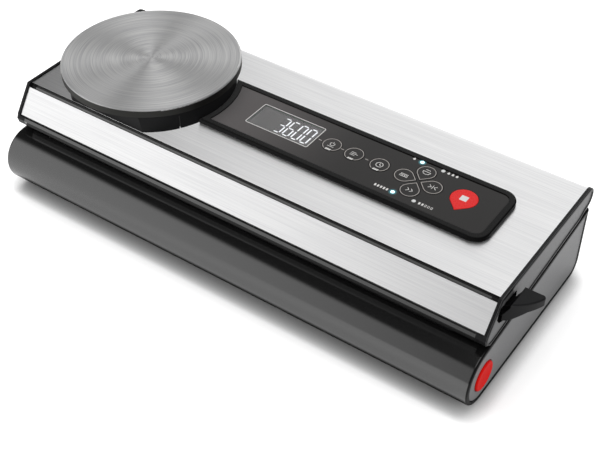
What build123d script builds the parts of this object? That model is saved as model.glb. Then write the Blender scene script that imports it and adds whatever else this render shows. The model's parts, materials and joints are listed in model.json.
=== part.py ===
"""Countertop vacuum sealer with a hinged lid, a locking lever and a weighing platter.

Millimetres, +Z up, +X along the length, -Y towards the user.
The origin is on the table, in the middle of the overall length and depth.
"""

import os
from math import cos, hypot, radians, sin, sqrt, tan

from build123d import *

os.makedirs("parts", exist_ok=True)

# Overall sizes
casing_length = 400.0
lever_reach = 19.0
half_length = casing_length / 2
body_x = -lever_reach / 2

# Base: a round nose, a top that rises to the back, an upright back
tilt = radians(5.44)
nose_y = -61.8
nose_z = 25.0
nose_r = 22.0
base_floor = nose_z - nose_r
base_back = 82.5
back_corner_r = 12.0
base_wall = 3.0
base_end_plate = 4.5
base_end_sink = 0.5
base_end_gap = 0.3
base_end_round = 0.5
base_end_step = 2.0
edge_round = 1.6
overcut = 1.0

# Deck set into the top of the base
deck_length = 356.0
deck_front = -60.4
deck_back = 62.0
deck_corner = 6.0
deck_plate = 3.0
deck_flange = 3.0
deck_flange_plate = 2.0
deck_thickness = deck_plate + deck_flange_plate
deck_gap = 0.3
trough_length = 290.0
trough_width = 34.0
trough_depth = 10.0
trough_corner = 8.0
trough_y = -5.0
tray_wall = 2.0
tray_gap = 0.2
tray_flange = 2.5
tray_flange_plate = 2.0
gasket_length = 314.0
gasket_reach = 48.0
gasket_width = 6.6
gasket_corner = 14.0
gasket_seat = 2.0
gasket_gap = 0.2
gasket_round = 0.7
lower_gasket_proud = 1.0
heat_y = -43.5
heat_length = 304.0
heat_width = 8.0
heat_depth = 8.0
heat_proud = 0.3
heat_wall = 2.5
strip_length = 300.0
strip_width = 3.0
strip_plate = 0.2
tape_plate = 0.25

# Lid: the steel sheets lie on the shell, and the rims of the end caps stand proud of the steel
hinge_y = 75.2
hinge_z = 73.5
shell_round_r = 6.9
sheet = 0.8
rim = 1.6
shell_top = hinge_z + shell_round_r
steel_top = shell_top + sheet
lid_gap = 2.2
lid_wall = 2.4
cap_plate = 8.0
cap_rim_plate = 2.8
cap_round = 0.8
cap_bore = 4.0
cap_tongue_y = 8.0
cap_tongue_z = 72.5
cap_tongue_length = 100.0
cap_tongue_height = 9.0
cap_tongue_reach = 3.0
lid_half = half_length - cap_plate
panel_gap = 0.2
panel_half = half_length - cap_rim_plate - panel_gap
break_y = -49.9
foot_y = -64.2
foot_z = 61.5
lip_ledge = (-65.4, 60.4)
lip_front = (-66.4, 58.3)
lip_low = (-65.2, 54.0)
lip_heel = (-62.8, 52.3)
skirt_y = -59.5
skirt_inner_y = -57.2
skirt_step_low = 53.0
skirt_step_high = 58.0
shell_hollow_low = 45.0
lid_bar_y = 66.0
back_end = radians(-100)
cover_plate = 4.0
cover_end_gap = 3.5
cover_side_gap = 0.4
upper_gasket_low = 1.3
pressure_strip_low = 1.2
pressure_strip_width = 7.0
cap_border = 2.2
cap_recess = 0.6
top_panel_front = -48.0
top_panel_wrap = radians(32)
front_groove = 2.6
groove_depth = 1.0
boss_r = 4.0
boss_gap = 0.5
lid_bosses = [(x, y) for x in (-180.0, 180.0) for y in (-15.0, 50.0)]
lid_bosses += [(-60.0, 50.0), (60.0, 50.0)]

# Hinge
hinge_x = 150.0
bracket_width = 12.0
bracket_eye_r = 6.2
bracket_neck = 8.0
bracket_foot = 54.0
bracket_pad = 2.0
bracket_pad_lap = 6.0
bracket_pad_width = 11.0
bracket_pad_shift = 2.0
bracket_neck_gap = 0.5
hinge_pin_r = 2.0
hinge_pin_length = 24.0
hinge_slot = 12.8
hinge_slot_r = 6.6
hinge_slot_reach = 18.0
hinge_slot_turns = (-130, -90, -45, 0, 28)
running_gap = 0.05

# Locking lever, its shaft and its hooks
lever_y = -37.0
lever_z = 63.5
lever_swing = radians(25)
shaft_r = 3.0
hook_x = 169.0
hook_plate = 4.0
hook_gap = 1.5
hook_hub_r = 6.0
hook_outline = [
    (-3.0, 0.0),
    (-3.0, -23.0),
    (5.0, -23.0),
    (7.0, -19.4),
    (2.0, -19.4),
    (2.0, 0.0),
]
deck_slot_y = lever_y - 7.6
deck_slot_reach = 20.8
cover_slot_y = lever_y - 3.8
cover_slot_reach = 15.0
keeper_y = -26.8
keeper_length = 12.0
keeper_width = 14.4
keeper_gap = 0.3
lever_top = 78.5
pocket_depth = 6.0
pocket_round = 2.0
bearing_place = 155.0
bearing_plate = 4.0
bearing_width = 14.0
bearing_drop = 5.0
lever_gap = 0.6
lever_inner = half_length - pocket_depth + lever_gap
lever_hub_r = 6.5
lever_hub_end = half_length - cap_recess
lever_neck_width = 11.0
lever_neck_height = 7.0
shaft_seat = 4.0
shaft_left = -lid_half - 3.5
blade_low = 60.0
blade_back = -28.5
blade_root = half_length + 0.4
blade_shoulder = half_length + 4.3
blade_round = 1.0
blade_lap = 1.0
pocket_outline = [
    (-28.5, 73.0),
    (-40.1, 73.6),
    (-50.9, 74.6),
    (-53.7, 66.8),
    (-49.6, 61.0),
    (-38.1, 55.5),
    (-28.0, 57.5),
]
# Blade seen from the front, and its front edge seen from above
blade_front = [
    (blade_shoulder, lever_top),
    (half_length + lever_reach + 1, lever_top),
    (half_length + lever_reach + 1, 72.8),
    (half_length + 13, 71.4),
    (half_length + 7, 66.8),
    (half_length + 3.5, 64.6),
    (blade_root, 64.0),
    (blade_root, 69.0),
    (blade_shoulder, 75.5),
]
blade_tip = [
    (half_length + 16, blade_back),
    (half_length + lever_reach - 0.6, -29.1),
    (half_length + lever_reach, -31.5),
]
blade_edge = [
    (half_length + lever_reach, -31.5),
    (half_length + 12.0, -42.0),
    (blade_root, -49.5),
]

# Release button in the right end of the base
button_y = -61.5
button_z = 23.5
button_r = 10.8
button_bore_r = 11.4
button_proud = 0.8
button_back = 190.0
button_round = 1.2
button_dish_r = 40.0
button_dish_depth = 1.0
stem_r = 4.0
stem_reach = 16.0
cage_end = 176.0
cage_wall = 1.6
cage_floor = 2.0
spring_r = 7.0
spring_inner_r = 5.4

# Control panel on the lid
bezel_right = 166.5
bezel_front = -15.0
bezel_rear = 40.5
bezel_left = -100.0
bezel_corner = 11.0
bezel_height = 3.6
bezel_round = 0.9
bezel_rim = 4.6
overlay_plate = 1.0
overlay_low = steel_top + 2.0
overlay_top = overlay_low + overlay_plate
overlay_gap = 0.15
key_gap = 0.3
key_round = 0.3
key_stem_r = 1.5
key_skirt = 0.2
key_flange = 0.6
key_flange_drop = 1.0
key_top = overlay_top + 0.2
window_left = -42.0
window_right = 158.0
window_front = -8.0
window_rear = 35.4
controls_y = 14.7
display_x = -7.5
display_length = 53.8
display_width = 25.6
display_corner = 1.2
display_gap = 0.1
display_border = 2.0
display_sink = 0.2
board_top = 73.0
board_plate = 1.6
board_x = 58.0
board_y = 13.7
board_length = 216.0
board_width = 56.0
board_boss_r = 2.5
board_boss_inset = (4.0, 3.0)
switch_side = 6.0
switch_cap = 0.4
switch_cap_r = 1.7
switch_top = 76.5
stem_low = 77.1
round_key_r = 7.2
drop_key_r = 7.0
clover_x = 102.0
clover_reach = 11.2
stop_key_r = 9.5
lamp_r = 1.25
lamps = [(94.0, 34.0), (110.4, 34.0), (93.6, -4.4), (109.9, -4.4)]
# Each key: name, place, radius and the direction of its point in degrees, or None for a round key
keys = [
    ("power_key", 32.4, controls_y, round_key_r, None),
    ("mode_key", 50.8, controls_y, round_key_r, None),
    ("time_key", 71.4, controls_y, round_key_r, None),
    ("seal_key", clover_x - clover_reach, controls_y, drop_key_r, 0),
    ("food_key", clover_x, controls_y + clover_reach, drop_key_r, 270),
    ("vacuum_key", clover_x + clover_reach, controls_y, drop_key_r, 180),
    ("speed_key", clover_x, controls_y - clover_reach, drop_key_r, 90),
    ("stop_key", 136.0, 16.6, stop_key_r, 270),
]

# Weighing platter
platter_x = -122.2
platter_y = 4.8
platter_r = 66.8
platter_top = 103.5
platter_skirt = 6.2
platter_sheet = 1.0
platter_round = 1.4
platter_rest = 0.05
pedestal_r = 62.5
pedestal_top_r = 61.0
pedestal_top = 93.5
pedestal_front = -47.6
pedestal_wall = 2.5
pedestal_round = 0.8
pedestal_front_length = 60.0
seam_turns = (-32, 212)
seam_width = 0.8
seam_inner_r = 60.3
bezel_round_r = 63.0
post_x = -92.0
post_r = 8.0
post_hole_r = 11.0
cell_top = 74.7
cell_side = 12.7
cell_length = 80.0
cell_foot = 16.0
cell_eye_r = 4.5
cell_eye_pitch = 14.0
cell_slit = 3.0
arm_low = 97.5
arm_plate = 3.0
arm_reach = 64.0
arm_width = 20.0
pad_r = 6.0
pad_inset = 8.0

# Screws, and the posts and feet of the base
post_foot = base_floor + base_wall + 1.6
deck_posts = [(x, y) for x in (-150.0, 0.0, 150.0) for y in (-31.0, 52.0)]
deck_post_r = 4.0
pilot_depth = 12.0
screw_r = 1.4
screw_gap = 0.3
screw_length = 13.0
screw_head_r = 2.8
screw_head = 1.6
screw_sink = 0.2
screw_seat_r = 3.2
cross_length = 3.0
cross_width = 0.7
cross_depth = 0.9
cover_length = 324.0
cover_width = 104.0
cover_y = 10.5
cover_lap = 3.0
vent_x = 110.0
vent_y = -18.0
vent_pitch = 7.0
vent_count = 9
vent_length = 30.0
vent_width = 3.0
feet = [(x, y) for x in (-170.0, 170.0) for y in (-52.0, 60.0)]
foot_r = 8.0
foot_round = 1.0
foot_peg_r = 3.0
foot_peg = 4.0

# Pump, valve, switches and hoses in the base
pump_y = 44.0
pump_z = 29.5
motor_x = 36.0
motor_r = 18.0
motor_length = 50.0
motor_round = 2.0
motor_boss_r = 6.0
motor_boss = 4.0
motor_bore = 10.0
pump_head_x = motor_x + motor_length + motor_boss
pump_head_side = 38.0
pump_head_length = 32.0
pump_head_corner = 5.0
pump_head_face = pump_y - pump_head_side / 2
chamber_r = 14.0
chamber_wall = 4.0
crank_r = 2.0
crank_tail = 8.0
crank_length = 34.0
crank_throw = 3.0
crank_disc_x = 100.0
crank_disc_r = 8.0
crank_disc = 10.0
saddles = (40.0, 74.0)
saddle_width = 30.0
saddle_height = 14.0
saddle_plate = 8.0
pump_bracket_x = 79.0
pump_bracket_length = 90.0
pump_bracket_width = 44.0
pump_bracket_plate = 2.0
head_block_x = 106.0
head_block_length = 30.0
head_block_width = 36.0
pump_port_x = 106.0
pump_port_z = 24.0
pump_port = 10.0
valve_port_x = 138.0
valve_port_z = 12.6
valve_port = 8.0
valve_y = 24.0
valve_side = 20.0
valve_height = 10.0
valve_corner = 2.0
vacuum_switch_place = (24.0, -12.0)
vacuum_switch_r = 11.0
vacuum_switch_height = 12.0
vacuum_switch_port = 8.0
hose_r = 4.0
hose_top = 38.0
hose_bend = 7.0
hose_gap = 1.0
nipple_r = 2.5
nipple_bore_r = 1.5
nipple_foot = 32.0
nipple_length = 9.0
nipple_bore_length = 16.0
lid_switch_x = 140.0
lid_switch_y = 38.0
lid_switch_length = 20.0
lid_switch_width = 8.0
lid_switch_drop = 17.0
plunger_r = 1.4
plunger_gap = 0.2
plunger_low = -6.0
plunger_length = 7.8

# Power board, transformer and mains inlet in the base
power_board_place = (-45.0, 20.0)
power_board_length = 100.0
power_board_width = 52.0
power_post_pitch = (84.0, 40.0)
power_post_r = 3.0
power_post = 5.0
power_hole_r = 1.5
# Each block on the power board: place, length, width and height
board_blocks = [
    ((-62.0, 30.0), 19.0, 15.0, 15.0),
    ((-33.0, 10.0), 12.0, 7.0, 9.0),
    ((-11.0, 10.0), 12.0, 7.0, 9.0),
]
capacitor_place = (-62.0, 8.0)
capacitor_r = 8.0
capacitor_height = 18.0
heat_sink_place = (-30.0, 38.0)
heat_sink_length = 30.0
heat_sink_plate = 4.0
heat_sink_height = 20.0
fin_pitch = 5.0
fin_count = 6
fin_plate = 1.6
fin_reach = 12.0
transformer_place = (-124.0, 38.0)
core_length = 44.0
core_width = 18.0
core_height = 34.0
coil_length = 30.0
coil_width = 34.0
coil_height = 22.0
coil_lift = 6.0
coil_round = 3.0
inlet_x = -120.0
inlet_z = 25.5
inlet_length = 24.0
inlet_height = 15.0
inlet_corner = 3.0
inlet_flange = 2.5
inlet_flange_plate = 2.0
inlet_back = 5.0
socket_length = 15.4
socket_height = 8.6
socket_depth = 13.0
pin_pitch = 8.6
pin_r = 1.2
pin_length = 15.0
pin_sink = 3.0
pin_round = 0.6

slope = tan(tilt)
nose_top_y = nose_y - nose_r * sin(tilt)
nose_top_z = nose_z + nose_r * cos(tilt)
front_length = hypot(foot_y - break_y, foot_z - steel_top)
front_run = ((foot_y - break_y) / front_length, (foot_z - steel_top) / front_length)
front_out = (front_run[1], -front_run[0])


def deck_z(y):
    """Height of the sloping deck at y."""
    return nose_top_z + (y - nose_top_y) * slope


def across(x):
    """Workplane square to the length, x from the casing's middle. Its axes are Y and Z."""
    return Plane.YZ.offset(body_x + x)


def level(z, x=0.0, y=0.0):
    """Level workplane at height z over the point x, y of the casing."""
    return Plane((body_x + x, y, z))


def upright(y, x=0.0, z=0.0):
    """Upright workplane facing the user. Its axes are X and Z."""
    return Plane((body_x + x, y, z), x_dir=(1, 0, 0), z_dir=(0, -1, 0))


def on_deck(height, x=0.0, y=0.0):
    """Workplane along the sloping deck, at a height square to it over the point x, y."""
    origin = (body_x + x, y - height * sin(tilt), deck_z(y) + height * cos(tilt))
    return Plane(origin, x_dir=(1, 0, 0), z_dir=(0, -sin(tilt), cos(tilt)))


def save(piece, name):
    """Labels a finished piece and writes it."""
    piece.part.label = name
    export_step(piece.part, f"parts/{name}.step")


def base_section(x, inset):
    """Section of the base at x, drawn in from its outside by inset."""
    r = nose_r - inset
    top = (nose_y - r * sin(tilt), nose_z + r * cos(tilt))
    floor = base_floor + inset
    back = base_back - inset
    corner = back_corner_r - inset
    bulge = corner * (1 - sqrt(0.5))
    with BuildSketch(across(x)) as section:
        with BuildLine():
            ThreePointArc(top, (nose_y - r, nose_z), (nose_y, floor))
            Line((nose_y, floor), (back - corner, floor))
            ThreePointArc((back - corner, floor), (back - bulge, floor + bulge), (back, floor + corner))
            Polyline((back, floor + corner), (back, top[1] + (back - top[0]) * slope), top)
        make_face()
    return section.sketch


def lid_break(proud):
    """Corner between the lid's top and its front slope, on a line proud of the shell."""
    out = proud - sheet
    return (break_y + out * front_out[0] / (1 + front_out[1]), steel_top + out)


def lid_foot(proud):
    """Foot of the lid's front slope, on a line proud of the shell."""
    out = proud - sheet
    return (foot_y + out * front_out[0], foot_z + out * front_out[1])


def slope_point(along, drop):
    """Point at a distance along the front slope from its top, a drop below the face of the steel."""
    corner = lid_break(sheet)
    return (
        corner[0] + along * front_run[0] - drop * front_out[0],
        corner[1] + along * front_run[1] - drop * front_out[1],
    )


def lid_section(x, proud, inset=0.0):
    """Section of the lid at x: a round back on the hinge axis, a flat top, a slope and a lip.

    The top stands proud of the shell, and the lip and the underside are drawn in by inset.
    """
    r = shell_round_r + proud
    start = (hinge_y + r * cos(back_end), hinge_z + r * sin(back_end))
    bar_foot = (lid_bar_y, deck_z(lid_bar_y) + lid_gap + inset)
    skirt = (skirt_y + inset, deck_z(skirt_y) + lid_gap + inset)
    ledge, front, low, heel = [(y + inset, z) for y, z in (lip_ledge, lip_front, lip_low, lip_heel)]
    with BuildSketch(across(x)) as section:
        with BuildLine():
            Line(bar_foot, start)
            ThreePointArc(start, (hinge_y + r, hinge_z), (hinge_y, hinge_z + r))
            Polyline((hinge_y, hinge_z + r), lid_break(proud), lid_foot(proud), ledge, front)
            Polyline(front, low, heel, skirt, bar_foot)
        make_face()
    return section.sketch


def back_point(r, turn):
    """Point on the round back of the lid, at a radius and an angle about the hinge axis."""
    return (hinge_y + r * cos(turn), hinge_z + r * sin(turn))


def panel_groove(x):
    """Section at x of the groove between the top sheet and the front sheet."""
    with BuildSketch(across(x)) as groove:
        with BuildLine():
            Polyline(
                (top_panel_front, steel_top),
                (top_panel_front, shell_top - groove_depth),
                lid_break(-groove_depth),
                slope_point(front_groove, sheet + groove_depth),
                slope_point(front_groove, 0),
                lid_break(sheet),
                close=True,
            )
        make_face()
    return groove.sketch


def tray_face(height, grow):
    """Outline of the vacuum trough, drawn along the deck at a height and out by grow."""
    with BuildSketch(on_deck(height, y=trough_y)) as face:
        RectangleRounded(trough_length + 2 * grow, trough_width + 2 * grow, trough_corner + grow)
    return face.sketch


def ring_on_deck(height, width):
    """Rounded ring round the trough, drawn along the deck at a height."""
    with BuildSketch(on_deck(height, y=trough_y)) as ring:
        RectangleRounded(gasket_length + width, gasket_reach + width, gasket_corner)
        RectangleRounded(
            gasket_length - width,
            gasket_reach - width,
            gasket_corner - width,
            mode=Mode.SUBTRACT,
        )
    return ring.sketch


def cross_face(z, places):
    """Cross slots of screw heads at height z."""
    with BuildSketch(level(z)) as face:
        with Locations(*places):
            Rectangle(cross_length, cross_width)
            Rectangle(cross_width, cross_length)
    return face.sketch


def control_window(z):
    """Opening under the control panel at height z."""
    with BuildSketch(level(z)) as face:
        with Locations(((window_left + window_right) / 2, (window_front + window_rear) / 2)):
            Rectangle(window_right - window_left, window_rear - window_front)
    return face.sketch


def bezel_face(z, inset):
    """Outline of the control panel at height z, drawn in by inset, hollow round the pedestal."""
    length = bezel_right - bezel_left - inset
    width = bezel_rear - bezel_front - 2 * inset
    middle = ((bezel_right + bezel_left - inset) / 2, (bezel_rear + bezel_front) / 2)
    with BuildSketch(level(z)) as face:
        with Locations(middle):
            RectangleRounded(length, width, bezel_corner - inset)
        with Locations((platter_x, platter_y)):
            Circle(bezel_round_r + inset, mode=Mode.SUBTRACT)
    return face.sketch


def key_face(z, x, y, radius, point):
    """Outline of a key at height z: round, or a drop whose square corner points at an angle."""
    with BuildSketch(level(z)) as face:
        with Locations((x, y)):
            Circle(radius)
            if point is not None:
                Rectangle(radius, radius, rotation=point - 45, align=(Align.MIN, Align.MIN))
    return face.sketch


# Base shell: nose, floor, back and top, open at the two ends
with BuildPart() as base_shell:
    extrude(base_section(-half_length, 0), amount=casing_length)
    fillet(base_shell.faces().filter_by(Axis.X).edges(), edge_round)
    extrude(base_section(-half_length, base_wall), amount=casing_length, mode=Mode.SUBTRACT)
    with BuildSketch(on_deck(overcut, y=(deck_front + deck_back) / 2)):
        RectangleRounded(
            deck_length + 2 * deck_gap,
            deck_back - deck_front + 2 * deck_gap,
            deck_corner + deck_gap,
        )
    extrude(amount=-base_wall - 2 * overcut, mode=Mode.SUBTRACT)
    with BuildSketch(on_deck(overcut, y=hinge_y)):
        with GridLocations(2 * hinge_x, 0, 2, 1):
            Rectangle(bracket_width, bracket_neck)
    extrude(amount=-base_wall - 2 * overcut, mode=Mode.SUBTRACT)
    with BuildSketch(level(base_floor)):
        with Locations((0, cover_y)):
            Rectangle(cover_length + 2 * deck_gap, cover_width + 2 * deck_gap)
        with Locations(*feet):
            Circle(foot_peg_r)
    extrude(amount=base_wall, mode=Mode.SUBTRACT)
    with BuildSketch(upright(base_back, inlet_x, inlet_z)):
        RectangleRounded(inlet_length, inlet_height, inlet_corner)
    extrude(amount=base_wall, mode=Mode.SUBTRACT)
save(base_shell, "base_shell")

# Deck: a plate with the tray's opening, the gasket seat, the heat bar slot and the hook slots
with BuildPart() as base_deck:
    deck_y = (deck_front + deck_back) / 2
    with BuildSketch(on_deck(-deck_plate, y=deck_y)):
        RectangleRounded(deck_length, deck_back - deck_front, deck_corner)
    extrude(amount=deck_plate)
    with BuildSketch(on_deck(-deck_thickness, y=deck_y)):
        RectangleRounded(
            deck_length + 2 * deck_flange,
            deck_back - deck_front + 2 * deck_flange,
            deck_corner + deck_flange,
        )
    extrude(amount=deck_flange_plate)
    with BuildSketch(on_deck(-heat_depth - heat_wall, y=heat_y)):
        Rectangle(heat_length + 2 * heat_wall, heat_width + 2 * heat_wall)
    extrude(amount=heat_depth)
    for post_place in deck_posts:
        with BuildSketch(level(post_foot, *post_place)):
            Circle(deck_post_r)
        extrude(amount=deck_z(post_place[1]) - deck_plate - post_foot)
    extrude(
        tray_face(-deck_thickness - overcut, tray_wall + tray_gap),
        amount=deck_thickness + 2 * overcut,
        mode=Mode.SUBTRACT,
    )
    with BuildSketch(on_deck(-heat_depth, y=heat_y)):
        Rectangle(heat_length + 2 * gasket_gap, heat_width + 2 * gasket_gap)
    extrude(amount=heat_depth + overcut, mode=Mode.SUBTRACT)
    extrude(
        ring_on_deck(-gasket_seat, gasket_width + 2 * gasket_gap),
        amount=gasket_seat + overcut,
        mode=Mode.SUBTRACT,
    )
    with BuildSketch(on_deck(overcut, y=deck_slot_y)):
        with GridLocations(2 * hook_x, 0, 2, 1):
            Rectangle(hook_plate + 2 * hook_gap, deck_slot_reach)
    extrude(amount=-deck_thickness - 2 * overcut, mode=Mode.SUBTRACT)
    with BuildSketch(level(post_foot)):
        with Locations(*deck_posts):
            Circle(screw_r)
    extrude(amount=pilot_depth, mode=Mode.SUBTRACT)
    with BuildSketch(on_deck(overcut, x=lid_switch_x, y=lid_switch_y)):
        Circle(plunger_r + plunger_gap)
    extrude(amount=-deck_thickness - 2 * overcut, mode=Mode.SUBTRACT)
    with BuildSketch(on_deck(-deck_thickness, y=keeper_y)):
        with GridLocations(2 * hook_x, 0, 2, 1):
            Rectangle(keeper_length + 2 * keeper_gap, keeper_width + 2 * keeper_gap)
    extrude(amount=deck_flange_plate, mode=Mode.SUBTRACT)
save(base_deck, "base_deck")

# Drip tray hung in the deck's opening: the vacuum trough, with two suction nipples under it
with BuildPart() as drip_tray:
    nipples = [(pump_port_x, trough_y), (valve_port_x, trough_y)]
    extrude(tray_face(-trough_depth - tray_wall, tray_wall), amount=trough_depth + tray_wall)
    extrude(
        tray_face(-deck_thickness - tray_flange_plate, tray_wall + tray_flange),
        amount=tray_flange_plate,
    )
    with BuildSketch(level(nipple_foot)):
        with Locations(*nipples):
            Circle(nipple_r)
    extrude(amount=nipple_length)
    extrude(tray_face(-trough_depth, 0), amount=trough_depth + overcut, mode=Mode.SUBTRACT)
    with BuildSketch(level(nipple_foot)):
        with Locations(*nipples):
            Circle(nipple_bore_r)
    extrude(amount=nipple_bore_length, mode=Mode.SUBTRACT)
save(drip_tray, "drip_tray")

# Lower gasket in its seat round the trough
with BuildPart() as lower_gasket:
    extrude(ring_on_deck(-gasket_seat, gasket_width), amount=gasket_seat + lower_gasket_proud)
    fillet(lower_gasket.faces().sort_by(Axis.Z)[-1].edges(), gasket_round)
save(lower_gasket, "lower_gasket")

# Heat bar, its ribbon and the non-stick tape over it
heat_layers = [
    ("heat_bar", -heat_depth, heat_depth + heat_proud, heat_length, heat_width),
    ("heating_strip", heat_proud, strip_plate, strip_length, strip_width),
    ("nonstick_tape", heat_proud + strip_plate, tape_plate, heat_length, heat_width),
]
for layer_name, layer_low, layer_plate, layer_length, layer_width in heat_layers:
    with BuildPart() as heat_layer:
        with BuildSketch(on_deck(layer_low, y=heat_y)):
            Rectangle(layer_length, layer_width)
        extrude(amount=layer_plate)
    save(heat_layer, layer_name)

# End plates of the base, sunk a little into the shell, with the button's cage on the right one
with BuildPart() as base_end_plates:
    plate_back = half_length - base_end_sink - base_end_plate
    for side in (-1, 1):
        extrude(
            base_section(side * plate_back, base_wall + base_end_gap),
            amount=side * base_end_plate,
        )
        outer_face = base_end_plates.faces().sort_by(Axis.X, reverse=side < 0)[-1]
        fillet(outer_face.edges(), base_end_round)
        extrude(
            base_section(side * plate_back, base_wall + base_end_step),
            amount=-side * base_end_step,
        )
    with BuildSketch(across(cage_end - cage_floor)):
        with Locations((button_y, button_z)):
            Circle(button_bore_r + cage_wall)
    extrude(amount=plate_back - cage_end + cage_floor)
    with BuildSketch(across(cage_end)):
        with Locations((button_y, button_z)):
            Circle(button_bore_r)
    extrude(amount=half_length - cage_end, mode=Mode.SUBTRACT)
    with BuildSketch(across(cage_end - cage_floor)):
        with Locations((button_y, button_z)):
            Circle(stem_r + running_gap)
    extrude(amount=cage_floor, mode=Mode.SUBTRACT)
save(base_end_plates, "base_end_plates")

# Release button with its stem, and the spring behind it
with BuildPart() as release_button:
    with BuildSketch(across(button_back)):
        with Locations((button_y, button_z)):
            Circle(button_r)
    extrude(amount=half_length + button_proud - button_back)
    fillet(release_button.edges().sort_by(Axis.X)[-1], button_round)
    dish_x = half_length + button_proud - button_dish_depth + button_dish_r
    with Locations(Location((body_x + dish_x, button_y, button_z))):
        Sphere(button_dish_r, mode=Mode.SUBTRACT)
    with BuildSketch(across(cage_end - stem_reach)):
        with Locations((button_y, button_z)):
            Circle(stem_r)
    extrude(amount=button_back - cage_end + stem_reach)
save(release_button, "release_button")

with BuildPart() as release_spring:
    with BuildSketch(across(cage_end)):
        with Locations((button_y, button_z)):
            Circle(spring_r)
            Circle(spring_inner_r, mode=Mode.SUBTRACT)
    extrude(amount=button_back - cage_end)
save(release_spring, "release_spring")

# Bottom cover with vents and board posts, its screws and the feet
with BuildPart() as bottom_cover:
    with BuildSketch(level(base_floor, y=cover_y)):
        Rectangle(cover_length, cover_width)
    extrude(amount=base_wall)
    with BuildSketch(level(base_floor + base_wall, y=cover_y)):
        Rectangle(cover_length + 2 * cover_lap, cover_width + 2 * cover_lap)
    extrude(amount=post_foot - base_floor - base_wall)
    with BuildSketch(level(post_foot, *power_board_place)):
        with GridLocations(*power_post_pitch, 2, 2):
            Circle(power_post_r)
    extrude(amount=power_post)
    with BuildSketch(level(base_floor)):
        with Locations((vent_x, vent_y), (-vent_x, vent_y)):
            with GridLocations(vent_pitch, 0, vent_count, 1):
                SlotOverall(vent_length, vent_width, rotation=90)
    extrude(amount=post_foot - base_floor, mode=Mode.SUBTRACT)
    with BuildSketch(level(base_floor)):
        with Locations(*deck_posts):
            Circle(screw_seat_r)
    extrude(amount=screw_sink + screw_head, mode=Mode.SUBTRACT)
    with BuildSketch(level(base_floor)):
        with Locations(*deck_posts):
            Circle(screw_r + screw_gap)
    extrude(amount=post_foot - base_floor, mode=Mode.SUBTRACT)
save(bottom_cover, "bottom_cover")

with BuildPart() as bottom_screws:
    head_foot = base_floor + screw_sink
    with BuildSketch(level(head_foot)):
        with Locations(*deck_posts):
            Circle(screw_head_r)
    extrude(amount=screw_head)
    with BuildSketch(level(head_foot + screw_head)):
        with Locations(*deck_posts):
            Circle(screw_r)
    extrude(amount=screw_length)
    extrude(cross_face(head_foot, deck_posts), amount=cross_depth, mode=Mode.SUBTRACT)
save(bottom_screws, "bottom_screws")

with BuildPart() as rubber_feet:
    with BuildSketch(level(0)):
        with Locations(*feet):
            Circle(foot_r)
    extrude(amount=base_floor)
    fillet(rubber_feet.edges().filter_by(GeomType.CIRCLE).group_by(Axis.Z)[0], foot_round)
    with BuildSketch(level(base_floor)):
        with Locations(*feet):
            Circle(foot_peg_r)
    extrude(amount=foot_peg)
save(rubber_feet, "rubber_feet")

# Hinge brackets rise from the base into the lid's slots, and carry the pins
with BuildPart() as hinge_brackets:
    for side in (-1, 1):
        with BuildSketch(across(side * hinge_x - bracket_width / 2)):
            with Locations((hinge_y, hinge_z)):
                Circle(bracket_eye_r)
            with Locations((hinge_y, (hinge_z + bracket_foot) / 2)):
                Rectangle(bracket_neck - 2 * bracket_neck_gap, hinge_z - bracket_foot)
            with Locations((hinge_y, hinge_z)):
                Circle(hinge_pin_r, mode=Mode.SUBTRACT)
        extrude(amount=bracket_width)
    with BuildSketch(on_deck(-base_wall - bracket_pad, y=hinge_y - bracket_pad_shift)):
        with GridLocations(2 * hinge_x, 0, 2, 1):
            Rectangle(bracket_width + 2 * bracket_pad_lap, bracket_pad_width)
    extrude(amount=bracket_pad)
save(hinge_brackets, "hinge_brackets")

with BuildPart() as hinge_pins:
    for side in (-1, 1):
        with BuildSketch(across(side * hinge_x - hinge_pin_length / 2)):
            with Locations((hinge_y, hinge_z)):
                Circle(hinge_pin_r)
        extrude(amount=hinge_pin_length)
save(hinge_pins, "hinge_pins")

# Steel keepers under the deck, behind the hook slots
with BuildPart() as latch_keepers:
    with BuildSketch(on_deck(-deck_thickness, y=keeper_y)):
        with GridLocations(2 * hook_x, 0, 2, 1):
            Rectangle(keeper_length, keeper_width)
    extrude(amount=deck_flange_plate)
save(latch_keepers, "latch_keepers")

# Lid switch under the deck, with its plunger up through it
with BuildPart() as lid_switch:
    with BuildSketch(on_deck(-lid_switch_drop, x=lid_switch_x, y=lid_switch_y)):
        Rectangle(lid_switch_length, lid_switch_width)
    extrude(amount=lid_switch_drop - deck_thickness)
    with BuildSketch(on_deck(plunger_low, x=lid_switch_x, y=lid_switch_y)):
        Circle(plunger_r)
    extrude(amount=plunger_length)
save(lid_switch, "lid_switch")

# Pump: motor, head with a crank chamber, the crank and the bracket below them
with BuildPart() as pump_motor:
    motor_end = motor_x + motor_length
    with BuildSketch(across(motor_x)):
        with Locations((pump_y, pump_z)):
            Circle(motor_r)
    extrude(amount=motor_length)
    fillet(pump_motor.edges(), motor_round)
    with BuildSketch(across(motor_end)):
        with Locations((pump_y, pump_z)):
            Circle(motor_boss_r)
    extrude(amount=motor_boss)
    with BuildSketch(across(motor_end - motor_bore)):
        with Locations((pump_y, pump_z)):
            Circle(crank_r + running_gap)
    extrude(amount=motor_bore + motor_boss, mode=Mode.SUBTRACT)
save(pump_motor, "pump_motor")

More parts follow.
